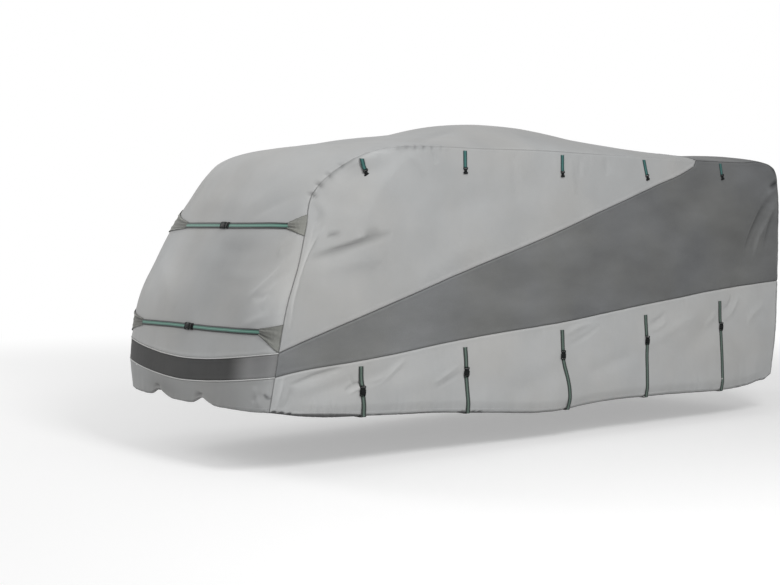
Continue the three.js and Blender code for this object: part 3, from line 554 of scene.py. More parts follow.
# Short ways to make the nodes that the materials and the world share, in one tree.
def nodesIn(tree):
    def fill(node, sockets):
        for key, value in sockets.items():
            if isinstance(value, bpy.types.NodeSocket):
                tree.links.new(value, node.inputs[key])
            else:
                node.inputs[key].default_value = value
        return node

    def make(kind, sockets, **settings):
        node = tree.nodes.new(kind)
        for key, value in settings.items():
            setattr(node, key, value)
        return fill(node, sockets)

    def maths(operation, *values, clamp=False):
        sockets = dict(enumerate(values))
        return make("ShaderNodeMath", sockets, operation=operation, use_clamp=clamp).outputs[0]

    def ramp(value, *stops, interpolation="LINEAR"):
        node = make("ShaderNodeValToRGB", {"Fac": value})
        node.color_ramp.interpolation = interpolation
        elements = node.color_ramp.elements
        while len(elements) < len(stops):
            elements.new(0.5)
        for element, (position, colour) in zip(elements, stops):
            element.position = position
            element.color = (*colour, 1)
        return node.outputs["Color"]

    def cloud(vector, scale, detail, distortion=0, **settings):
        sockets = {"Vector": vector, "Scale": scale, "Detail": detail, "Distortion": distortion}
        return make("ShaderNodeTexNoise", sockets, **settings).outputs["Fac"]

    def mixed(blend, factor, first, second):
        sockets = {"Factor": factor, "A": first, "B": second}
        return make("ShaderNodeMix", sockets, data_type="RGBA", blend_type=blend).outputs["Result"]

    def bump(height, distance, strength):
        sockets = {"Height": height, "Distance": distance, "Strength": strength}
        return make("ShaderNodeBump", sockets).outputs["Normal"]

    def smoothRange(value, low, high, atLow=0, atHigh=1):
        sockets = {"Value": value, "From Min": low, "From Max": high, "To Min": atLow, "To Max": atHigh}
        return make("ShaderNodeMapRange", sockets, interpolation_type="SMOOTHSTEP").outputs["Result"]

    return SimpleNamespace(
        fill=fill, make=make, maths=maths, ramp=ramp, cloud=cloud, mixed=mixed, bump=bump,
        smoothRange=smoothRange,
        add=lambda first, second: maths("ADD", first, second),
        minus=lambda first, second: maths("SUBTRACT", first, second),
        times=lambda first, second: maths("MULTIPLY", first, second),
        place=lambda kind="Object": make("ShaderNodeTexCoord", {}).outputs[kind],
        parts=lambda vector: make("ShaderNodeSeparateXYZ", {0: vector}).outputs,
        uv=lambda: make("ShaderNodeUVMap", {}, uv_map="cloth").outputs["UV"],
        attribute=lambda name: make("ShaderNodeAttribute", {}, attribute_name=name).outputs["Fac"],
        cameraRay=lambda: make("ShaderNodeLightPath", {}).outputs["Is Camera Ray"],
    )


def newMaterial(name):
    material = bpy.data.materials.new(name)
    material.use_nodes = True
    tree = material.node_tree
    return material, tree.nodes["Principled BSDF"], nodesIn(tree)


# Painted shade: how dark the seams, the pleats and the hem's turned edge are painted, and how far that
# reaches.
seamTone = {
    "front": 0.66, "roof": 0.03, "ridge": 0.3, "ridgeRise": (150, 300), "ridgeFall": (200, 500), "plain": 0.7,
    "dent": 0.52, "dentPlace": 12, "dentReach": 26, "hem": 0.35, "hemReach": 12, "calm": 60, "calmLeast": 0.1,
}

clothLook = {
    "light": {
        "colour": (0.412, 0.415, 0.412), "dark": 0.93, "bright": 1.05, "streak": 1.0,
        "cool": (0.99, 1.0, 1.01), "warm": (1.008, 1.0, 0.988),
    },
    "dark": {
        "colour": (0.146, 0.149, 0.149), "dark": 0.80, "bright": 1.18, "streak": 1.7,
        "cool": (0.985, 0.995, 1.02), "warm": (1.008, 1.005, 0.985),
    },
    # The band is the dark cloth painted darker: painted shade of the low front.
    "band": {
        "colour": (0.050, 0.050, 0.049), "dark": 0.84, "bright": 1.14, "streak": 1.6,
        "cool": (0.98, 0.99, 1.02), "warm": (1.01, 1.0, 0.98),
    },
    "patch": {
        "colour": (0.285, 0.288, 0.268), "dark": 0.76, "bright": 1.16, "streak": 1.0,
        "cool": (0.99, 1.0, 1.0), "warm": (1.01, 1.0, 0.97),
    },
}
# The piping is the light cloth painted lighter: a painted highlight on its round cord.
clothLook["piping"] = {**clothLook["light"], "colour": (0.56, 0.56, 0.55)}
# Scales in turns a metre, sizes in metres, and heights for the bump in millimetres.
clothFinish = {
    "roughness": 0.86, "sheen": 0.22, "sheenRoughness": 0.45, "specular": 0.28, "seamWidth": 0.0068,
    "mottle": 2.6, "fleck": 210, "hue": 1.1, "wrinkle": 3.4, "crinkle": 26, "dotPitch": 0.0031,
    "stitchRows": (0.0065, 0.0135), "threadHalf": 0.0008, "stitchPitch": 0.0042, "stitchGap": 0.3,
    "threadLight": 1.35, "threadShare": 0.6, "puckerPitch": 0.021, "puckerLength": 0.11, "puckerFade": -60,
    "fleckShare": 0.25, "toneRange": (0.32, 0.68), "hueRange": (0.38, 0.62), "dotUneven": 0.25,
    "dotSoft": 0.4,
    "pitHeight": 0.10, "wrinkleHeight": 1.1, "crinkleHeight": 0.8, "puckerHeight": 1.8,
    "stitchDepth": 0.35, "threadHeight": 0.45,
}


# Pressed non-woven cloth: a dot pattern, soft mottling, fine wrinkles, puckers and two stitch lines at each
# seam. faded: a range along one axis, over which the colour goes from one strength to another, as painted
# light.
def clothMaterial(name, look, crumple=1.0, faded=None):
    material, shader, nodes = newMaterial(name)
    maths, times, finish = nodes.maths, nodes.times, clothFinish
    place = nodes.place()
    fromSeam, alongSeam, seamDark, shade, clear = (
        nodes.attribute(key) for key in ("fromSeam", "alongSeam", "seamDark", "shade", "clear")
    )
    streak = (1 / look["streak"], 1, look["streak"] ** 0.5)
    stretched = nodes.make("ShaderNodeMapping", {"Vector": place, "Scale": streak}).outputs[0]
    mottle, fleck = nodes.cloud(stretched, finish["mottle"], 6), nodes.cloud(place, finish["fleck"], 2)
    base = np.array(look["colour"])
    (low, high), (cool, warm) = finish["toneRange"], finish["hueRange"]
    tone = nodes.add(times(mottle, 1 - finish["fleckShare"]), times(fleck, finish["fleckShare"]))
    colour = nodes.ramp(tone, (low, base * look["dark"]), (high, base * look["bright"]))
    # Two rows of stitches, as short light dashes in a pressed line.
    rows = [maths("COMPARE", fromSeam, row, finish["threadHalf"]) for row in finish["stitchRows"]]
    stitches = maths("MAXIMUM", *rows)
    turns = maths("FRACT", maths("DIVIDE", alongSeam, finish["stitchPitch"]))
    thread = times(stitches, maths("GREATER_THAN", turns, finish["stitchGap"]))
    threadColour = (*np.minimum(1, base * finish["threadLight"]), 1)
    colour = nodes.mixed("MIX", times(thread, finish["threadShare"]), colour, threadColour)
    # The cloth is cooler in some places and warmer in others.
    tint = nodes.ramp(nodes.cloud(place, finish["hue"], 3), (cool, look["cool"]), (warm, look["warm"]))
    # Painted shade: the seams are darker, and so are the hem's turned edge and the pleats. The shade
    # attribute also holds the painted shade and painted highlights of the folds, the panels and the front.
    atSeam = nodes.minus(1, maths("DIVIDE", fromSeam, finish["seamWidth"], clamp=True))
    light = times(nodes.minus(1, times(atSeam, seamDark)), shade)
    if faded:
        axis, *reach = faded
        light = times(light, nodes.smoothRange(nodes.parts(place)["XYZ".index(axis)], *reach))
    for factor in (tint, light):
        colour = nodes.mixed("MULTIPLY", 1, colour, factor)
    # The heights are joined before one bump.
    dotSockets = {"Vector": nodes.uv(), "Scale": 1 / finish["dotPitch"], "Randomness": finish["dotUneven"]}
    dots = nodes.make("ShaderNodeTexVoronoi", dotSockets, feature="F1", distance="EUCLIDEAN")
    pits = maths("SMOOTH_MIN", dots.outputs["Distance"], finish["dotSoft"])
    wrinkle = nodes.cloud(place, finish["wrinkle"], 5, distortion=0.7, noise_type="RIDGED_MULTIFRACTAL")
    crinkle = nodes.cloud(place, finish["crinkle"], 4)
    alongTurns = maths("DIVIDE", alongSeam, finish["puckerPitch"])
    outTurns = maths("DIVIDE", fromSeam, finish["puckerLength"])
    puckerPlace = nodes.make("ShaderNodeCombineXYZ", {0: alongTurns, 1: outTurns}).outputs[0]
    pucker = nodes.cloud(puckerPlace, 1, 2, noise_dimensions="2D")
    nearSeam = times(maths("POWER", 2.718, times(fromSeam, finish["puckerFade"])), clear)
    height = times(pits, finish["pitHeight"])
    for part, amount in (
        (wrinkle, finish["wrinkleHeight"] * crumple), (crinkle, finish["crinkleHeight"] * crumple),
        (times(pucker, nearSeam), finish["puckerHeight"]), (stitches, -finish["stitchDepth"]),
        (thread, finish["threadHeight"]),
    ):
        height = nodes.add(height, times(part, amount))
    nodes.fill(shader, {
        "Base Color": colour, "Roughness": finish["roughness"], "Sheen Weight": finish["sheen"],
        "Sheen Roughness": finish["sheenRoughness"], "Specular IOR Level": finish["specular"],
        "Normal": nodes.bump(height, 0.001, 1.0),
    })
    return material


# Webbing from its edge to its middle. The halves are shares of its width.
webLook = {
    "front": {
        "edge": (0.014, 0.018, 0.018), "band": (0.035, 0.155, 0.115), "centre": (0.15, 0.34, 0.27),
        "bandHalf": 0.25, "centreHalf": 0.075,
    },
    "side": {
        "edge": (0.030, 0.040, 0.035), "band": (0.075, 0.125, 0.10), "centre": (0.15, 0.21, 0.175),
        "bandHalf": 0.21, "centreHalf": 0.07,
    },
    "tab": {
        "edge": (0.016, 0.052, 0.052), "band": (0.022, 0.125, 0.115), "centre": (0.07, 0.22, 0.20),
        "bandHalf": 0.27, "centreHalf": 0.06,
    },
}
webFinish = {
    "pick": 0.0026, "chevron": 9, "warps": 17, "warpShare": 0.6, "weaveLight": 0.7, "weaveLow": 0.62,
    "roughness": 0.62, "sheen": 0.15,
}


# Woven webbing: u runs from 0 to 1 across, v along in metres.
def webMaterial(name, look):
    material, shader, nodes = newMaterial(name)
    across, along = nodes.parts(nodes.uv())[:2]

    def offMiddle(value):
        return nodes.maths("ABSOLUTE", nodes.minus(value, 0.5))

    def ridges(value):
        return offMiddle(nodes.maths("FRACT", value))

    off = offMiddle(across)
    stops = ((0, look["centre"]), (look["centreHalf"], look["band"]), (look["bandHalf"], look["edge"]))
    picks = nodes.maths("DIVIDE", along, webFinish["pick"])
    chevron = nodes.add(picks, nodes.times(off, webFinish["chevron"]))
    warps = ridges(nodes.times(across, webFinish["warps"]))
    weave = nodes.add(ridges(chevron), nodes.times(warps, webFinish["warpShare"]))
    light = nodes.add(nodes.times(weave, webFinish["weaveLight"]), webFinish["weaveLow"])
    nodes.fill(shader, {
        "Base Color": nodes.mixed("MULTIPLY", 1, nodes.ramp(off, *stops, interpolation="CONSTANT"), light),
        "Roughness": webFinish["roughness"], "Sheen Weight": webFinish["sheen"],
        "Normal": nodes.bump(weave, 0.0005, 0.8),
    })
    return material


plasticLook = {
    "low": (0.004, 0.005, 0.005), "high": (0.010, 0.012, 0.012), "specular": 0.22, "grain": 900,
    "roughness": 0.46, "rougher": 0.2,
}


def plasticMaterial(name, look):
    material, shader, nodes = newMaterial(name)
    grain = nodes.cloud(nodes.place(), look["grain"], 2)
    nodes.fill(shader, {
        "Base Color": nodes.ramp(grain, (0, look["low"]), (1, look["high"])),
        "Roughness": nodes.add(nodes.times(grain, look["rougher"]), look["roughness"]),
        "Specular IOR Level": look["specular"],
        "Normal": nodes.bump(grain, 0.0002, 0.5),
    })
    return material


lightCloth = clothMaterial("light non-woven cloth", clothLook["light"])
# The dark cloth is painted lighter towards the front: painted light, as more light falls on the front.
darkCloth = clothMaterial("dark non-woven cloth", clothLook["dark"], faded=("X", -3.0, 1.6, 1.36, 1.0))
# The band is the dark cloth painted darker, as painted shade, and painted lighter by the near seam, as
# painted light where it turns to the light.
shadedBandCloth = clothMaterial("dark cloth painted darker for the band", clothLook["band"], faded=("Y", -0.94, -0.64, 4.3, 0.92))
patchCloth = clothMaterial("crumpled patch cloth", clothLook["patch"], crumple=2.2)
frontWeb = webMaterial("front strap webbing", webLook["front"])
sideWeb = webMaterial("side strap webbing", webLook["side"])
tabWeb = webMaterial("tab webbing", webLook["tab"])
plastic = plasticMaterial("black moulded plastic", plasticLook)
# A painted highlight: the piping's cord is the light cloth painted lighter.
litPipingCloth = clothMaterial("light cloth painted lighter for the piping", clothLook["piping"])
print("materials made")


def finished(piece, slotName, *replaced):
    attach(piece, "root")
    if replaced:
        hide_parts(*replaced)


# v places of a section at equal shares of its length from seam to seam.
def acrossPlaces(s, shares):
    u = np.linspace(-1, 1, 601)
    dense = np.sign(u) * (1 - (1 - np.abs(u)) ** 3)
    points = stripBase(np.full(len(dense), s), dense)
    lengths = np.concatenate([[0], np.cumsum(np.linalg.norm(np.diff(points, axis=0), axis=1))])
    return np.interp(shares * lengths[-1], lengths, dense), shares * lengths[-1], lengths[-1]


# step: the rows' distance, 0 where it differs from the front to the roof. hem: which end is the hem.
# tone: how much darker the panel is painted, as painted shade where it gets less light.
# waving: how much of the puckers and waves it has.
stripPanels = [
    {
        "name": "front_skirt", "from": "frontHem", "to": "bandLow", "step": 11, "material": lightCloth,
        "slot": "light_cloth", "hem": "low", "flat": (2.36, 0.27), "area": 0.45, "tone": 0.24, "waving": 0.2,
    },
    {
        "name": "front_band", "from": "bandLow", "to": "bandTop", "step": 10, "material": shadedBandCloth,
        "slot": "dark_cloth", "hem": "", "flat": (2.45, 0.18), "waving": 0.12, "seamShare": 0.5,
    },
    {
        "name": "front_and_roof", "from": "bandTop", "to": "roofSeam", "step": 0, "material": lightCloth,
        "slot": "light_cloth", "hem": "", "flat": (2.36, 5.6),
    },
    {
        "name": "back_upper", "from": "roofSeam", "to": "backSeam", "step": 24, "material": darkCloth,
        "slot": "dark_cloth", "hem": "", "flat": (2.3, 2.3), "tone": 0.14,
    },
    {
        "name": "back_lower", "from": "backSeam", "to": "backHem", "step": 20, "material": lightCloth,
        "slot": "light_cloth", "hem": "high", "flat": (2.3, 0.94),
    },
]


def rowsBetween(start, end, step):
    return start + (end - start) * edgeShares(int((end - start) / step))


def stripRows(panel):
    start, end = placeOf[panel["from"]], placeOf[panel["to"]]
    if panel["step"]:
        return rowsBetween(start, end, panel["step"])
    turn = placeOf["roofFront"]
    return np.concatenate([rowsBetween(start, turn, grid["front"]), rowsBetween(turn, end, grid["roof"])[1:]])


# What a cloth's material reads: the gap to the nearest seam, the run along it, how dark the seam is painted,
# and a shade with painted shade and painted highlights: the shoulder's pleats, the hem's edge and the given
# tone.
def seamAttributes(fromSeam, alongSeam, onStripSeam, s, clear, hemGap, tone):
    strip = seamTone["front"] + (seamTone["roof"] - seamTone["front"]) * towardsRoof(s)
    (start, rise), (end, fall) = seamTone["ridgeRise"], seamTone["ridgeFall"]
    onRidge = upTo((s - placeOf["roofFront"] - start) / rise) * upTo((placeOf["humpFall"] + end - s) / fall)
    dark = np.where(onStripSeam, strip + seamTone["ridge"] * onRidge, seamTone["plain"])
    dent = np.where(onStripSeam, shoulderDents(s), 0) * clear
    near = np.exp(-((fromSeam - seamTone["dentPlace"]) / seamTone["dentReach"]) ** 2)
    shade = (1 - tone) * (1 - seamTone["dent"] * dent * near)
    if hemGap is not None:
        shade = shade * (1 - seamTone["hem"] * fade(hemGap / seamTone["hemReach"]))
        clear = clear * np.clip((hemGap - seamTone["calm"]) / seamTone["calm"], seamTone["calmLeast"], 1)
    return {
        "fromSeam": fromSeam * millimetre, "alongSeam": alongSeam * millimetre,
        "seamDark": dark, "shade": shade, "clear": clear,
    }


def stripPanel(panel):
    rows = stripRows(panel)
    shares = edgeShares(grid["columns"])
    v, run, lengths = (np.array(part) for part in zip(*(acrossPlaces(s, shares) for s in rows)))
    s = np.repeat(rows[:, None], len(shares), axis=1)
    sideGap = np.minimum(run, lengths[:, None] - run)
    lowGap, highGap = s - rows[0], rows[-1] - s
    hemGap = {"low": lowGap, "high": highGap}.get(panel["hem"])
    endGap = {"low": highGap, "high": lowGap}.get(panel["hem"], np.minimum(lowGap, highGap))
    fromSeam = np.minimum(sideGap, endGap)
    alongSeam = np.where(sideGap < endGap, s, run)
    clear = upTo(np.abs(sideGap - endGap) / seamShape["cornerClear"]) * panel.get("waving", 1)
    lift = seamLift(fromSeam, alongSeam, clear, sideGap <= endGap)
    if hemGap is not None:
        lift = hemmed(lift, hemGap, run, "strip", sideGap)
        fromSeam = withHemLine(fromSeam, hemGap)
    points = stripSurface(s, v, lift)
    coordinates = np.stack([run - lengths[:, None] / 2, s], axis=-1)
    y, z = points[..., 1], points[..., 2]
    # The shade carries painted shade and painted highlights: the panel's tone, the folds' tones and the
    # front's soft painted shades.
    tone = panel.get("tone", 0) + foldSum(y, s, placedFolds, ofTone=True)
    for cloudY, cloudZ, reachY, reachZ, cloudTone in paintedFrontShades:
        off = ((y - cloudY) / reachY) ** 2 + ((z - cloudZ) / reachZ) ** 2
        tone = tone + cloudTone * np.exp(-off) * fade((s - placeOf["shoulderHigh"]) / cloudFade)
    attributes = seamAttributes(fromSeam, alongSeam, sideGap <= endGap, s, clear, hemGap, tone)
    attributes["seamDark"] = attributes["seamDark"] * panel.get("seamShare", 1)
    piece = gridObject(panel["name"] + "_cloth", points, coordinates, attributes, panel["material"])
    finished(piece, panel["slot"], panel["name"])
    panel.get("area")


for panel in stripPanels:
    stripPanel(panel)
print("front, roof and back made")


def curveOf(points):
    runs = runLengths(points)
    columns = np.array(points, float).T
    return lambda t: np.stack([smoothValues(runs, column, t * runs[-1]) for column in columns], axis=-1)


def seamCurve(fromName, toName):
    start, end = placeOf[fromName], placeOf[toName]
    return lambda t: np.stack(sectionValues(start + (end - start) * t, "x", "z"), axis=-1)


def straight(start, end):
    start, end = np.array(start, float), np.array(end, float)
    return lambda t: start + (end - start) * np.asarray(t)[..., None]


hemCurve = curveOf(hemPoints)
lowerCurve = curveOf([seamEnd["bandLow"], *lowerSeam, seamEnd["backSeam"]])
upperCurve = curveOf([seamEnd["bandTop"], *upperSeam, upperSeamTip])
tipLine = straight(upperSeamTip, seamEnd["roofSeam"])
tipShare = 0.985


def upperAndTip(t):
    onTip = upTo((t - tipShare) / (1 - tipShare))
    return np.where((t > tipShare)[..., None], tipLine(onTip), upperCurve(np.minimum(t / tipShare, 1)))


# stripEdges: the edges that meet the strip, with the section where each begins. The runs along the other
# edges start at ownRun, so that their puckers differ.
ownRun = 5000
# tone: how much darker a panel is painted, as painted shade; the lower panel's is under 0, painted light that
# makes it lighter.
sidePanels = [
    {
        "name": "side_lower", "rows": 44, "columns": 380, "material": lightCloth, "slot": "light_cloth",
        "hem": True, "flat": (0.94, 6.02), "area": 4.37, "tone": -0.12,
        "bottom": hemCurve, "top": lowerCurve,
        "left": seamCurve("frontHem", "bandLow"), "right": seamCurve("backHem", "backSeam"),
        "stripEdges": {"left": "frontHem", "right": "backSeam"},
    },
    {
        "name": "side_middle", "rows": 62, "columns": 360, "material": darkCloth, "slot": "dark_cloth",
        "hem": False, "flat": (2.0, 6.2), "area": 4.7, "tone": 0,
        "bottom": lowerCurve, "top": upperAndTip,
        "left": seamCurve("bandLow", "bandTop"), "right": seamCurve("backSeam", "roofSeam"),
        "stripEdges": {"left": "bandLow", "right": "roofSeam"},
    },
    {
        "name": "side_upper", "rows": 84, "columns": 250, "material": lightCloth, "slot": "light_cloth",
        "hem": False, "flat": (1.75, 4.95), "area": 3.43, "tone": 0,
        "bottom": upperCurve, "top": seamCurve("shoulderHigh", "roofSeam"),
        "left": seamCurve("bandTop", "shoulderHigh"), "right": tipLine,
        "stripEdges": {"left": "bandTop", "top": "shoulderHigh"},
    },
]


# Places between four edges, blended from them as in a Coons patch.
def sideGrid(panel):
    a = edgeShares(panel["columns"])[None, :]
    b = edgeShares(panel["rows"])[:, None]
    bottom, top = panel["bottom"](a[0])[None], panel["top"](a[0])[None]
    left, right = panel["left"](b[:, 0])[:, None], panel["right"](b[:, 0])[:, None]
    a, b = a[..., None], b[..., None]
    edges = (1 - b) * bottom + b * top + (1 - a) * left + a * right
    low = (1 - a) * bottom[:, :1] + a * bottom[:, -1:]
    high = (1 - a) * top[:, :1] + a * top[:, -1:]
    return edges - (1 - b) * low - b * high


# How far the hem's gathers lift the cloth.
def hemGather(side, x, hemGap):
    shape, lift = gatherShape, 0
    for start, end, pitch, depth in hemGathers:
        inside = upTo((x - start) / shape["fade"]) * upTo((end - x) / shape["fade"])
        wave = unevenWave(x + shape["shift"] * side, pitch, *shape["sway"])
        lift = lift + depth * wave * np.exp(-hemGap / shape["reach"]) * inside
    return lift


# How much darker the hem's turned edge is painted, as its painted shadow.
def hemShadow(x, hemGap):
    tone = 0
    for start, end, height, amount, pitch in hemShades:
        share = upTo((x - start) / (end - start))
        inside = (share > 0) & (share < 1)
        wave = np.abs(np.sin(np.pi * x / pitch)) if pitch else np.sin(np.pi * share) ** scallops["lens"]
        reach = height * (scallops["least"] + (1 - scallops["least"]) * wave) * inside
        tone = tone + amount * inside * upTo((reach - hemGap) / scallops["edge"] + 0.5)
    return tone


def sidePanel(panel, side, label):
    places = sideGrid(panel)
    x, z = places[..., 0], places[..., 1]
    t = np.linspace(0, 1, grid["edgeSamples"])
    fromSeam, second, alongSeam = np.full(x.shape, 1e9), np.full(x.shape, 1e9), np.zeros(x.shape)
    onStripSeam = np.zeros(x.shape, bool)
    for edge in ("top", "left", "right") if panel["hem"] else ("bottom", "top", "left", "right"):
        gap, along = toLine(x, z, panel[edge](t))
        stripEdge = edge in panel["stripEdges"]
        along = along + (placeOf[panel["stripEdges"][edge]] if stripEdge else ownRun)
        closer = gap < fromSeam
        second = np.where(closer, fromSeam, np.minimum(second, gap))
        fromSeam = np.where(closer, gap, fromSeam)
        alongSeam = np.where(closer, along, alongSeam)
        onStripSeam = np.where(closer, stripEdge, onStripSeam)
    clear = upTo((second - fromSeam) / seamShape["cornerClear"])
    if panel["name"] == "side_upper":  # the pleats run on round the shoulder's corner
        clear = np.where(onStripSeam & (z > 1800) & (x < 0), 1, clear)
    lift = seamLift(fromSeam, alongSeam, clear, onStripSeam)
    # Painted shade and painted highlights of the panel and its folds; at the hem, the painted shadow of its
    # edge.
    tone = panel["tone"] + foldSum(x, z, nearFolds if side < 0 else farFolds, ofTone=True)
    hemGap = None
    if panel["hem"]:
        hemGap, hemRun = toLine(x, z, hemCurve(t))
        lift = hemmed(lift, hemGap, hemRun, "side", fromSeam, hemGather(side, x, hemGap))
        tone = tone + hemShadow(x, hemGap)
        fromSeam = withHemLine(fromSeam, hemGap)
    points = sideSurface(side, x, z, lift)
    tone = np.minimum(tone, scallops["most"])
    attributes = seamAttributes(fromSeam, alongSeam, onStripSeam, alongSeam, clear, hemGap, tone)
    name = panel["name"] + "_" + label
    outward = np.array([0.0, side, 0.0])
    piece = gridObject(name + "_cloth", points, places, attributes, panel["material"], outward=outward)
    finished(piece, panel["slot"], name)


sides = ((-1, "near"), (1, "far"))
for side, label in sides:
    for panel in sidePanels:
        sidePanel(panel, side, label)
print("side panels made")

# height: of the webbing at the near end, the middle and the far end. ends, buckle: shares of the half width.
# near, far: the feet of its patches on the seams.
frontStraps = [
    {
        "name": "upper", "height": (1842, 1851, 1864), "ends": (-0.9, 0.56), "buckle": -0.1,
        "near": (1772, 1930), "far": (1786, 2002), "patchTone": 0.04,
    },
    {
        "name": "lower", "height": (1071, 1068, 1042), "ends": (-0.88, 0.69), "buckle": -0.04,
        "near": (928, 1128), "far": (946, 1160), "patchTone": 0.2,
    },
]
tabs = [
    {"x": -2082, "z": 2362, "back": 64, "length": 128},
    {"x": -1086, "z": 2457, "back": 6, "length": 182},
    {"x": 19, "z": 2457, "back": 7, "length": 182},
    {"x": 1070, "z": 2450, "back": 50, "length": 178},
    {"x": 2157, "z": 2452, "back": 38, "length": 152},
]
bodyStraps = [
    {"x": -2134, "z": 779, "buckleX": -2121, "buckleZ": 592, "hemX": -2094, "swing": 0},
    {"x": -1081, "z": 869, "buckleX": -1069, "buckleZ": 668, "hemX": -1030, "swing": 0},
    {"x": 34, "z": 961, "buckleX": 48, "buckleZ": 743, "hemX": 128, "swing": 32},
    {"x": 1109, "z": 1045, "buckleX": 1125, "buckleZ": 816, "hemX": 1148, "swing": 0},
    {"x": 2181, "z": 1138, "buckleX": 2201, "buckleZ": 894, "hemX": 2236, "swing": 0},
]
# lift, frontLift: how far the webbing lies off the cloth. level: how far a row is raised to its highest
# place, over so many rows to each side. tuck: how far a front strap goes under its patches, as shares.
webbing = {
    "thickness": 1.8, "strap": 45, "tab": 40, "gap": 0.7, "columns": 6, "step": 14, "lift": 1.0,
    "frontLift": 4.6, "level": 0.65, "levelOver": 2, "bridge": 3, "tuck": (0.012, 0.016),
}
buckles = {
    "front": {"length": 128, "width": 58, "overlap": 8, "lift": 2.5},
    "body": {"length": 80, "width": 56, "overlap": 6, "lift": 1.2},
}


# The strip's own place at a share of the half width and a height on the front, found by halving.
def frontPlace(share, z):
    share, z = np.broadcast_arrays(np.asarray(share, float), np.asarray(z, float))
    low, high = np.zeros(share.shape), np.full(share.shape, placeOf["humpFront"])
    for _ in range(34):
        middle = (low + high) / 2
        under = stripBase(middle, share)[..., 2] < z
        low, high = np.where(under, middle, low), np.where(under, high, middle)
    return low


def frontSurface(share, z, lift=0):
    return stripSurface(frontPlace(share, z), np.asarray(share, float), lift)


def acrossWebbing(width):
    return np.linspace(-width / 2, width / 2, webbing["columns"] + 1)


# A ribbon over rows of places: each row runs across the webbing.
def ribbon(node, rows, material, outward):
    rows = np.array(rows)
    middle = rows[:, rows.shape[1] // 2]
    run = np.concatenate([[0], np.cumsum(np.linalg.norm(np.diff(middle, axis=0), axis=1))])
    across = np.linspace(0, 1, rows.shape[1])
    coordinates = np.stack(np.broadcast_arrays(across[None, :] / millimetre, run[:, None]), axis=-1)
    piece = gridObject(node + "_webbing", rows, coordinates, {}, material, webbing["thickness"], outward)
    piece.modifiers[0].offset = 1
    finished(piece, "webbing", node)


def frontHeight(strap, share):
    near, middle, far = strap["height"]
    edge = np.where(share < 0, near, far)
    return middle + (edge - middle) * np.abs(share) ** 2


# Rows of a front strap. It bridges small hollows, so a row is lifted to the mean of the rows around it.
def frontRows(strap, fromShare, toShare):
    shares = np.linspace(fromShare, toShare, int(abs(toShare - fromShare) * halfWidth / webbing["step"]) + 2)
    off = acrossWebbing(webbing["strap"])
    share, z = np.broadcast_arrays(shares[:, None], frontHeight(strap, shares)[:, None] + off[None, :])
    points = frontSurface(share, z)
    normal = stripNormal(frontPlace(share, z), share)
    height = (points * normal).sum(axis=-1)
    smooth, reach = height.copy(), webbing["bridge"]
    for shift in (*range(-reach, 0), *range(1, reach + 1)):
        moved = np.roll(height, shift, axis=0)
        if shift > 0:
            moved[:shift] = height[:shift]
        else:
            moved[shift:] = height[shift:]
        smooth += moved
    smooth /= 2 * reach + 1
    return points + normal * webbing["frontLift"] + normal * np.maximum(0, smooth - height)[..., None]


bevelMost = 0.42


def boxTable(bm, boxes):
    for x0, x1, y0, y1, z0, z1, bevel, taper in boxes:
        made = bmesh.ops.create_cube(bm, size=1)["verts"]
        for vert in made:
            narrower = taper if vert.co.x > 0 else 1
            vert.co = Vector((
                (x0 + x1) / 2 + vert.co.x * (x1 - x0),
                (y0 + y1) / 2 + vert.co.y * (y1 - y0) * narrower,
                (z0 + z1) / 2 + vert.co.z * (z1 - z0),
            ))
        edges = list({edge for vert in made for edge in vert.link_edges})
        width = min(bevel, bevelMost * min(x1 - x0, y1 - y0, z1 - z0))
        bmesh.ops.bevel(
            bm, geom=edges, offset=width, offset_type="OFFSET", segments=3, profile=0.5, affect="EDGES",
            material=-1,
        )


# A box on one side of a buckle's middle line, and its mirror image.
def bothSides(x0, x1, y0, y1, z0, z1, bevel):
    return (x0, x1, y0, y1, z0, z1, bevel, 1), (x0, x1, -y1, -y0, z0, z1, bevel, 1)


# Boxes: from and to along the webbing, across it and out, the bevel, and how much narrower the front end is.
# A side-release buckle, 104 long and 66 wide in this table.
buckleTable = {"length": 104, "width": 66}
buckleBoxes = [
    (-10, 36, -25, 25, 1.0, 13.0, 4, 0.94),
    (-6, 30, -17, 17, 12.2, 14.0, 0.8, 0.9),
    (-14, -8, -31, 31, 1.5, 12.0, 2.4, 0.98),
    (34, 40, -31, 31, 1.5, 11.0, 2.4, 1),
    *bothSides(-12, 38, -33, -28.5, 3.0, 10.0, 2),
    *bothSides(40, 52, -30, -24.5, 1.2, 8.5, 2),
    (48, 52, -30, 30, 1.2, 8.0, 1.8, 1),
    (-30, -12, -20, 20, 2.0, 9.0, 2, 1),
    (-34, -30, -31, 31, 1.2, 9.0, 1.8, 1),
    *bothSides(-52, -30, -31, -25.5, 1.2, 8.5, 2),
    (-43, -40, -27, 27, 3.0, 8.0, 1.2, 1),
    (-52, -49, -30, 30, 1.2, 8.0, 1.2, 1),
    *bothSides(-30, 6, -27.5, -22, 3.5, 9.5, 1.8),
]
# The half buckle of a tab.
studBoxes = [
    *bothSides(-3, 12, -23, -18, 1.0, 8.0, 2),
    (-3, 1, -22, 22, 1.0, 7.5, 1.4, 1),
    (8, 18, -23, 23, 1.0, 9.0, 2.6, 0.62),
    (14, 36, -9, 9, 1.4, 9.5, 3, 1),
    *bothSides(16, 38, -14, -10.5, 2.0, 8.0, 1.5),
    (33, 49, -23, 23, 1.2, 9.5, 3.4, 0.94),
]


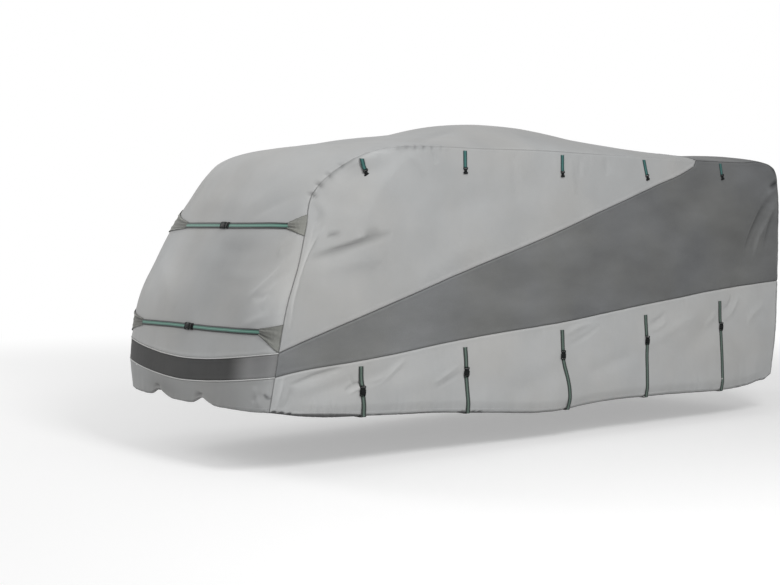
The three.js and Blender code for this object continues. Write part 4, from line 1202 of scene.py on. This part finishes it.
def plasticPiece(name, boxes, middle, along, across, out, replaced=(), size=None):
    bm = bmesh.new()
    boxTable(bm, boxes)
    if size:
        stretch = (size["length"] / buckleTable["length"], size["width"] / buckleTable["width"], 1)
        bmesh.ops.scale(bm, vec=stretch, verts=bm.verts)
    lifted = np.array(middle) - (0, 0, carryHeight)
    place = Matrix([*zip(along, across, out, lifted), (0, 0, 0, 1)])
    bmesh.ops.transform(bm, matrix=Matrix.Scale(millimetre, 4) @ place, verts=bm.verts)
    if Vector(along).cross(Vector(across)).dot(Vector(out)) < 0:
        bmesh.ops.reverse_faces(bm, faces=bm.faces)
    finished(newPiece(name, meshFrom(bm, name), plastic), "black_plastic", *replaced)


def unit(vector):
    return np.asarray(vector, float) / np.linalg.norm(vector)


# The middle of a front buckle, and its directions along the webbing, across it and out.
def frontFrame(strap, share):
    z, aside, above = float(frontHeight(strap, share)), 0.02, 20
    steps = ((0, 0), (aside, 0), (-aside, 0), (0, above), (0, -above))
    middle, right, left, up, down = (
        frontSurface(np.array([share + ds]), np.array([z + dz]))[0] for ds, dz in steps
    )
    along, across = unit(right - left), unit(up - down)
    out = unit(np.cross(across, along))
    return middle, along, unit(np.cross(along, out) * -1), out


patchShape = {
    "apexWidth": 52, "lift": 7.6, "least": 4.6, "fold": 5.4, "crumple": 4.0, "foldTone": 0.6,
    "foldReach": 0.55, "rim": 0.25, "tongue": 90, "rows": 40, "columns": 36, "closer": 1.7, "thickness": 1.6,
    "seamDark": 0.45,
}


# The patch that spreads a front strap's pull along the seam, crumpled in folds that fan out from its point.
def frontPatch(strap, label, side):
    apex = strap["ends"][0] if side < 0 else strap["ends"][1]
    footLow, footTop = strap[label]
    shape = patchShape
    t = np.linspace(0, 1, shape["columns"] + 1)[:, None]
    r = np.linspace(0, 1, shape["rows"] + 1)[None, :]
    limit = side * (1 - 2e-5)
    share = apex + (limit - apex) * (1 - (1 - t) ** shape["closer"]) + 0 * r
    start = float(frontHeight(strap, apex)) + (r - 0.5) * shape["apexWidth"]
    z = start + t * (footLow + r * (footTop - footLow) - start)
    s = frontPlace(share, z)
    fan = np.sin(9.5 * r + 2.2 * np.sin(5 * r + side)) + 0.6 * np.sin(21 * r + 1.3 * side + 2 * t)
    free = np.sin(np.pi * upTo(0.12 + 0.86 * t)) ** 0.6
    rim = np.clip(np.minimum(r, 1 - r) * 6, shape["rim"], 1)
    seed = 3.1 * side + strap["height"][0]
    crumpled = np.array([noise.noise(Vector((9 * a, 7 * b, seed))) for a in t[:, 0] for b in r[0]])
    lift = shape["lift"] + shape["fold"] * fan * free * rim + shape["crumple"] * crumpled.reshape(share.shape)
    points = stripSurface(s, share, np.maximum(lift, shape["least"]))
    length, foot = halfWidth * abs(limit - apex) + shape["tongue"], footTop - footLow
    coordinates = np.stack([t * length + 0 * r, (r - 0.5) * foot + 0 * t], axis=-1)
    widths = shape["apexWidth"] + t * (foot - shape["apexWidth"])
    edge = np.minimum(np.minimum(r, 1 - r) * widths, (1 - t) * length)
    # Painted shade in the folds near the point; patchTone makes the patch darker, more towards its upper
    # edge.
    folded = upTo(0.5 - 0.42 * fan * free) * np.exp(-((t / shape["foldReach"]) ** 2))
    attributes = {
        "fromSeam": edge * millimetre, "alongSeam": (t * length + 0 * r) * millimetre,
        "seamDark": edge * 0 + shape["seamDark"],
        "shade": 1 - strap["patchTone"] * (0.4 + r) - shape["foldTone"] * folded,
        "clear": edge * 0 + 1,
    }
    name = "front_patch_" + strap["name"] + "_" + label
    piece = gridObject(name + "_cloth", points, coordinates, attributes, patchCloth, shape["thickness"])
    finished(piece, "patch_cloth", name)


for strap in frontStraps:
    for side, label in sides:
        frontPatch(strap, label, side)
    halfShare = (buckles["front"]["length"] / 2 - buckles["front"]["overlap"]) / halfWidth
    lengths = {
        "near": (strap["ends"][0] - webbing["tuck"][0], strap["buckle"] - halfShare),
        "far": (strap["buckle"] + halfShare, strap["ends"][1] + webbing["tuck"][1]),
    }
    for label, (start, end) in lengths.items():
        rows = frontRows(strap, start, end)
        ribbon("front_strap_" + strap["name"] + "_" + label, rows, frontWeb, np.array([-1.0, 0, 0]))
    middle, along, across, out = frontFrame(strap, strap["buckle"])
    node = "front_buckle_" + strap["name"]
    middle = middle + out * buckles["front"]["lift"]
    plasticPiece(node + "_body", buckleBoxes, middle, along, across, out, [node], buckles["front"])
print("front straps made")


# Rows of a side strap: level across, lifted to the highest place near each row.
def sideRows(side, x, z, width, lift=webbing["lift"]):
    points = sideSurface(side, x[:, None] + acrossWebbing(width), z[:, None] + 0 * acrossWebbing(width))
    out = side * points[..., 1]
    top = out.max(axis=1)
    reach, level = webbing["levelOver"], webbing["level"]
    count = 2 * reach + 1
    smooth = np.array([top[max(0, k - reach):k + reach + 1].max() for k in range(len(top))])
    smooth = np.convolve(np.pad(smooth, reach, mode="edge"), np.ones(count) / count, mode="valid")
    lifted = (1 - level) * out + level * np.maximum(smooth, top)[:, None] + lift
    points[..., 1] = side * np.maximum(lifted, out + webbing["gap"])
    return points


def stepsBetween(start, end, step):
    return np.linspace(start, end, max(3, int(abs(end - start) / step) + 1))


studs = {"length": 50, "overlap": 6, "step": 9, "lift": 0.4, "aim": 6}


# A tab, and the half buckle that hangs in line with its last rows.
def tabPiece(tab, number, side, label):
    webLength = tab["length"] - studs["length"]
    z = stepsBetween(tab["z"], tab["z"] - webLength - studs["overlap"], studs["step"])
    x = tab["x"] + tab["back"] * (tab["z"] - z) / tab["length"]
    rows = sideRows(side, x, z, webbing["tab"])
    name = "roof_tab_" + label + "_" + str(number)
    ribbon(name, rows, tabWeb, np.array([0.0, side, 0]))
    foot = rows[-1].mean(axis=0)
    down = unit(foot - rows[-1 - studs["aim"]].mean(axis=0))
    out = unit(np.cross(rows[-1][-1] - rows[-1][0], down))
    out = out * side * np.sign(out[1])
    plasticPiece(name + "_buckle", studBoxes, foot + out * studs["lift"], down, np.cross(out, down), out)


for n, tab in enumerate(tabs):
    for side, label in sides:
        tabPiece(tab, n + 1, side, label)

# How a body strap ends above the hem on both sides, bends round it, and sags across the open bottom.
underShape = {
    "above": 6, "bend": 9, "bendTop": 2, "angles": (15, 75, 4), "drop": 7, "sag": 9, "rows": 60,
    "reach": 0.975, "swing": 1.4,
}


# A body strap: a short upper length to the buckle, and a long one from there under the cover to the far side.
def bodyStrap(strap, number):
    half = buckles["body"]["length"] / 2 - buckles["body"]["overlap"]
    buckleX, buckleZ = strap["buckleX"], strap["buckleZ"]
    slope = (buckleX - strap["x"]) / (strap["z"] - buckleZ)
    z = stepsBetween(strap["z"], buckleZ + half, webbing["step"])
    x = strap["x"] + slope * (strap["z"] - z)
    nearSide = np.array([0.0, -1, 0])
    upper = sideRows(-1, x, z, webbing["strap"])
    ribbon("body_strap_upper_%d" % number, upper, sideWeb, nearSide)
    hemX, hemZ = strap["hemX"], float(hemHeight(np.array(strap["hemX"], float)))

    def lowerX(z):
        share = upTo((buckleZ - z) / (buckleZ - hemZ))
        swung = strap["swing"] * np.sin(np.pi * share ** underShape["swing"])
        return buckleX + (hemX - buckleX) * share + swung

    z = stepsBetween(buckleZ - half, hemZ + underShape["above"], webbing["step"])
    near = sideRows(-1, lowerX(z), z, webbing["strap"])
    z = stepsBetween(hemZ + underShape["above"], strap["z"], webbing["step"])
    x = np.where(z > buckleZ, strap["x"] + slope * (strap["z"] - z), lowerX(z))
    far = sideRows(1, x, z, webbing["strap"])
    reach = min(abs(near[-1, :, 1].mean()), abs(far[0, :, 1].mean()))

    # y and z round the hem on one side.
    def bent(side, angles):
        size, top = underShape["bend"], underShape["bendTop"]
        bends = [math.radians(angle) for angle in angles]
        return [(side * (reach - size * (1 - math.cos(b))), hemZ - size * math.sin(b) + top) for b in bends]

    shares = np.linspace(-underShape["reach"], underShape["reach"], underShape["rows"])
    low = hemZ - underShape["drop"]
    sagging = [(share * reach, low - underShape["sag"] * (1 - share * share)) for share in shares]
    turns = np.linspace(*underShape["angles"])
    under = [
        [(hemX + off, y, z) for off in acrossWebbing(webbing["strap"])]
        for y, z in bent(-1, turns) + sagging + bent(1, turns[::-1])
    ]
    ribbon("body_strap_%d" % number, np.concatenate([near, np.array(under), far]), sideWeb, nearSide)
    heights = buckleZ + np.array([30.0, 0, -30])
    nearRow = sideRows(-1, np.full(3, float(buckleX)), heights, buckleTable["width"], buckles["body"]["lift"])
    level = (nearRow[..., 1].min() + nearRow[..., 1].mean()) / 2
    middle = np.array([buckleX, level, buckleZ])
    down = unit([-slope, 0, -1])
    across = np.cross(nearSide, down)
    node = "body_buckle_%d" % number
    plasticPiece(node + "_body", buckleBoxes, middle, down, across, nearSide, [node], buckles["body"])


for n, strap in enumerate(bodyStraps):
    bodyStrap(strap, n + 1)
print("tabs and body straps made")

pipingShape = {"radius": 4.4, "lift": 3.4, "sides": 8, "columns": 150, "under": -1.5}


# Piping in a seam: a round cord in cloth along the line of places.
def pipingAlong(name, places, outwards):
    count = pipingShape["sides"] + 1
    angles = np.linspace(0, 2 * np.pi, count)[None, :, None]
    across = np.cross(unitRows(np.gradient(places, axis=0)), outwards)
    centre = places + outwards * pipingShape["lift"]
    ring = np.cos(angles) * outwards[:, None] + np.sin(angles) * across[:, None]
    points = toFrame(centre[:, None] + pipingShape["radius"] * ring)
    bm = bmesh.new()
    bmesh.ops.create_grid(bm, x_segments=count - 1, y_segments=len(places) - 1, size=1)
    for vert in bm.verts:
        j, i = round((vert.co.x + 1) / 2 * (count - 1)), round((vert.co.y + 1) / 2 * (len(places) - 1))
        vert.co = Vector(points[i, j])
    bmesh.ops.remove_doubles(bm, verts=bm.verts, dist=1e-6)
    bmesh.ops.holes_fill(bm, edges=bm.edges, sides=0)
    bmesh.ops.recalc_face_normals(bm, faces=bm.faces)
    mesh = meshFrom(bm, name)
    mesh.uv_layers.new(name="cloth")
    plain = mesh.attributes.new("shade", "FLOAT", "POINT")
    plain.data.foreach_set("value", np.ones(len(mesh.vertices), np.float32))
    finished(newPiece(name, mesh, litPipingCloth), "light_cloth")


for edge, place in (("low", placeOf["bandLow"]), ("top", placeOf["bandTop"])):
    v = acrossPlaces(place, np.linspace(0.002, 0.998, pipingShape["columns"]))[0]
    s = np.full(len(v), place)
    surface = stripSurface(s, v, pipingShape["under"])
    pipingAlong("front_band_piping_" + edge, surface, stripNormal(s, v))
print("piping made")


# Metres and watts.
studio = {
    "floor": 0.70, "floorSeen": 0.36, "floorBounce": 0.62, "fadeFrom": 5.5, "fadeTo": 13.0, "floorSize": 60,
    "worldLow": 0.12, "worldSide": 0.66, "worldFront": 0.63,
    "key": {"place": (-2.6, -7.8, 4.6), "size": 3.0, "power": 470, "target": (-0.6, -1.1, -1.4)},
    "far": {"place": (-6.5, 8.0, 3.0), "size": 4.0, "power": 260, "target": (-2.8, 0.6, -1.2)},
}


# The floor is pale, and runs out into the white of the backdrop. It lights the cloth less than it shows.
def floorMaterial():
    material, shader, nodes = newMaterial("pale floor")
    nodes.fill(shader, {
        "Base Color": (*[studio["floor"]] * 3, 1), "Roughness": 0.9,
        "Emission Color": (1, 1, 1, 1), "Emission Strength": studio["floorSeen"],
    })
    dull = nodes.make("ShaderNodeBsdfDiffuse", {"Color": (*[studio["floorBounce"]] * 3, 1)})
    white = nodes.make("ShaderNodeEmission", {})
    reach = nodes.make("ShaderNodeVectorMath", {0: nodes.place()}, operation="LENGTH").outputs["Value"]
    away = nodes.smoothRange(reach, studio["fadeFrom"], studio["fadeTo"])
    seen = nodes.make("ShaderNodeMixShader", {0: away, 1: shader.outputs[0], 2: white.outputs[0]})
    both = nodes.make("ShaderNodeMixShader", {0: nodes.cameraRay(), 1: dull.outputs[0], 2: seen.outputs[0]})
    nodes.fill(material.node_tree.nodes["Material Output"], {"Surface": both.outputs[0]})
    return material


# The backdrop is white to look at. Its light comes more from the two sides and the front than from above.
def makeWorld():
    world = bpy.data.worlds.new("white studio")
    world.use_nodes = True
    nodes = nodesIn(world.node_tree)
    ahead, sideways, _ = nodes.parts(nodes.place("Generated"))
    fromSides = nodes.times(nodes.times(sideways, sideways), studio["worldSide"])
    fromFront = nodes.maths("MAXIMUM", nodes.times(ahead, -studio["worldFront"]), 0)
    light = nodes.add(nodes.add(fromSides, fromFront), studio["worldLow"])
    strength = nodes.make("ShaderNodeMix", {"Factor": nodes.cameraRay(), "A": light, "B": 1})
    background = world.node_tree.nodes["Background"]
    nodes.fill(background, {"Color": (1, 1, 1, 1), "Strength": strength.outputs["Result"]})
    bpy.context.scene.world = world


def makeStudio():
    bm = bmesh.new()
    bmesh.ops.create_grid(bm, x_segments=1, y_segments=1, size=studio["floorSize"])
    bmesh.ops.translate(bm, vec=(0, 0, -carryHeight * millimetre), verts=bm.verts)
    newPiece("floor", meshFrom(bm, "floor"), floorMaterial())
    for name in ("key", "far"):
        values = studio[name]
        lamp = bpy.data.lights.new(name + " light", "AREA")
        lamp.energy = values["power"]
        lamp.size = values["size"]
        lampObject = newObject(name + " light", lamp)
        lampObject.location = values["place"]
        direction = Vector(values["target"]) - Vector(values["place"])
        lampObject.rotation_euler = direction.to_track_quat("-Z", "Y").to_euler()
    makeWorld()
    view = bpy.data.cameras.new("photo camera")
    view.lens = camera["lens"]
    view.sensor_width = camera["sensor"]
    view.sensor_fit = "HORIZONTAL"
    view.clip_end = camera["reach"]
    eye = newObject("photo camera", view)
    eye.location = camera["place"]
    eye.rotation_euler = (math.pi / 2 + camera["tilt"], 0, camera["turn"])
    bpy.context.scene.camera = eye
    bpy.context.scene.view_settings.view_transform = "Standard"


makeStudio()
print("studio made")
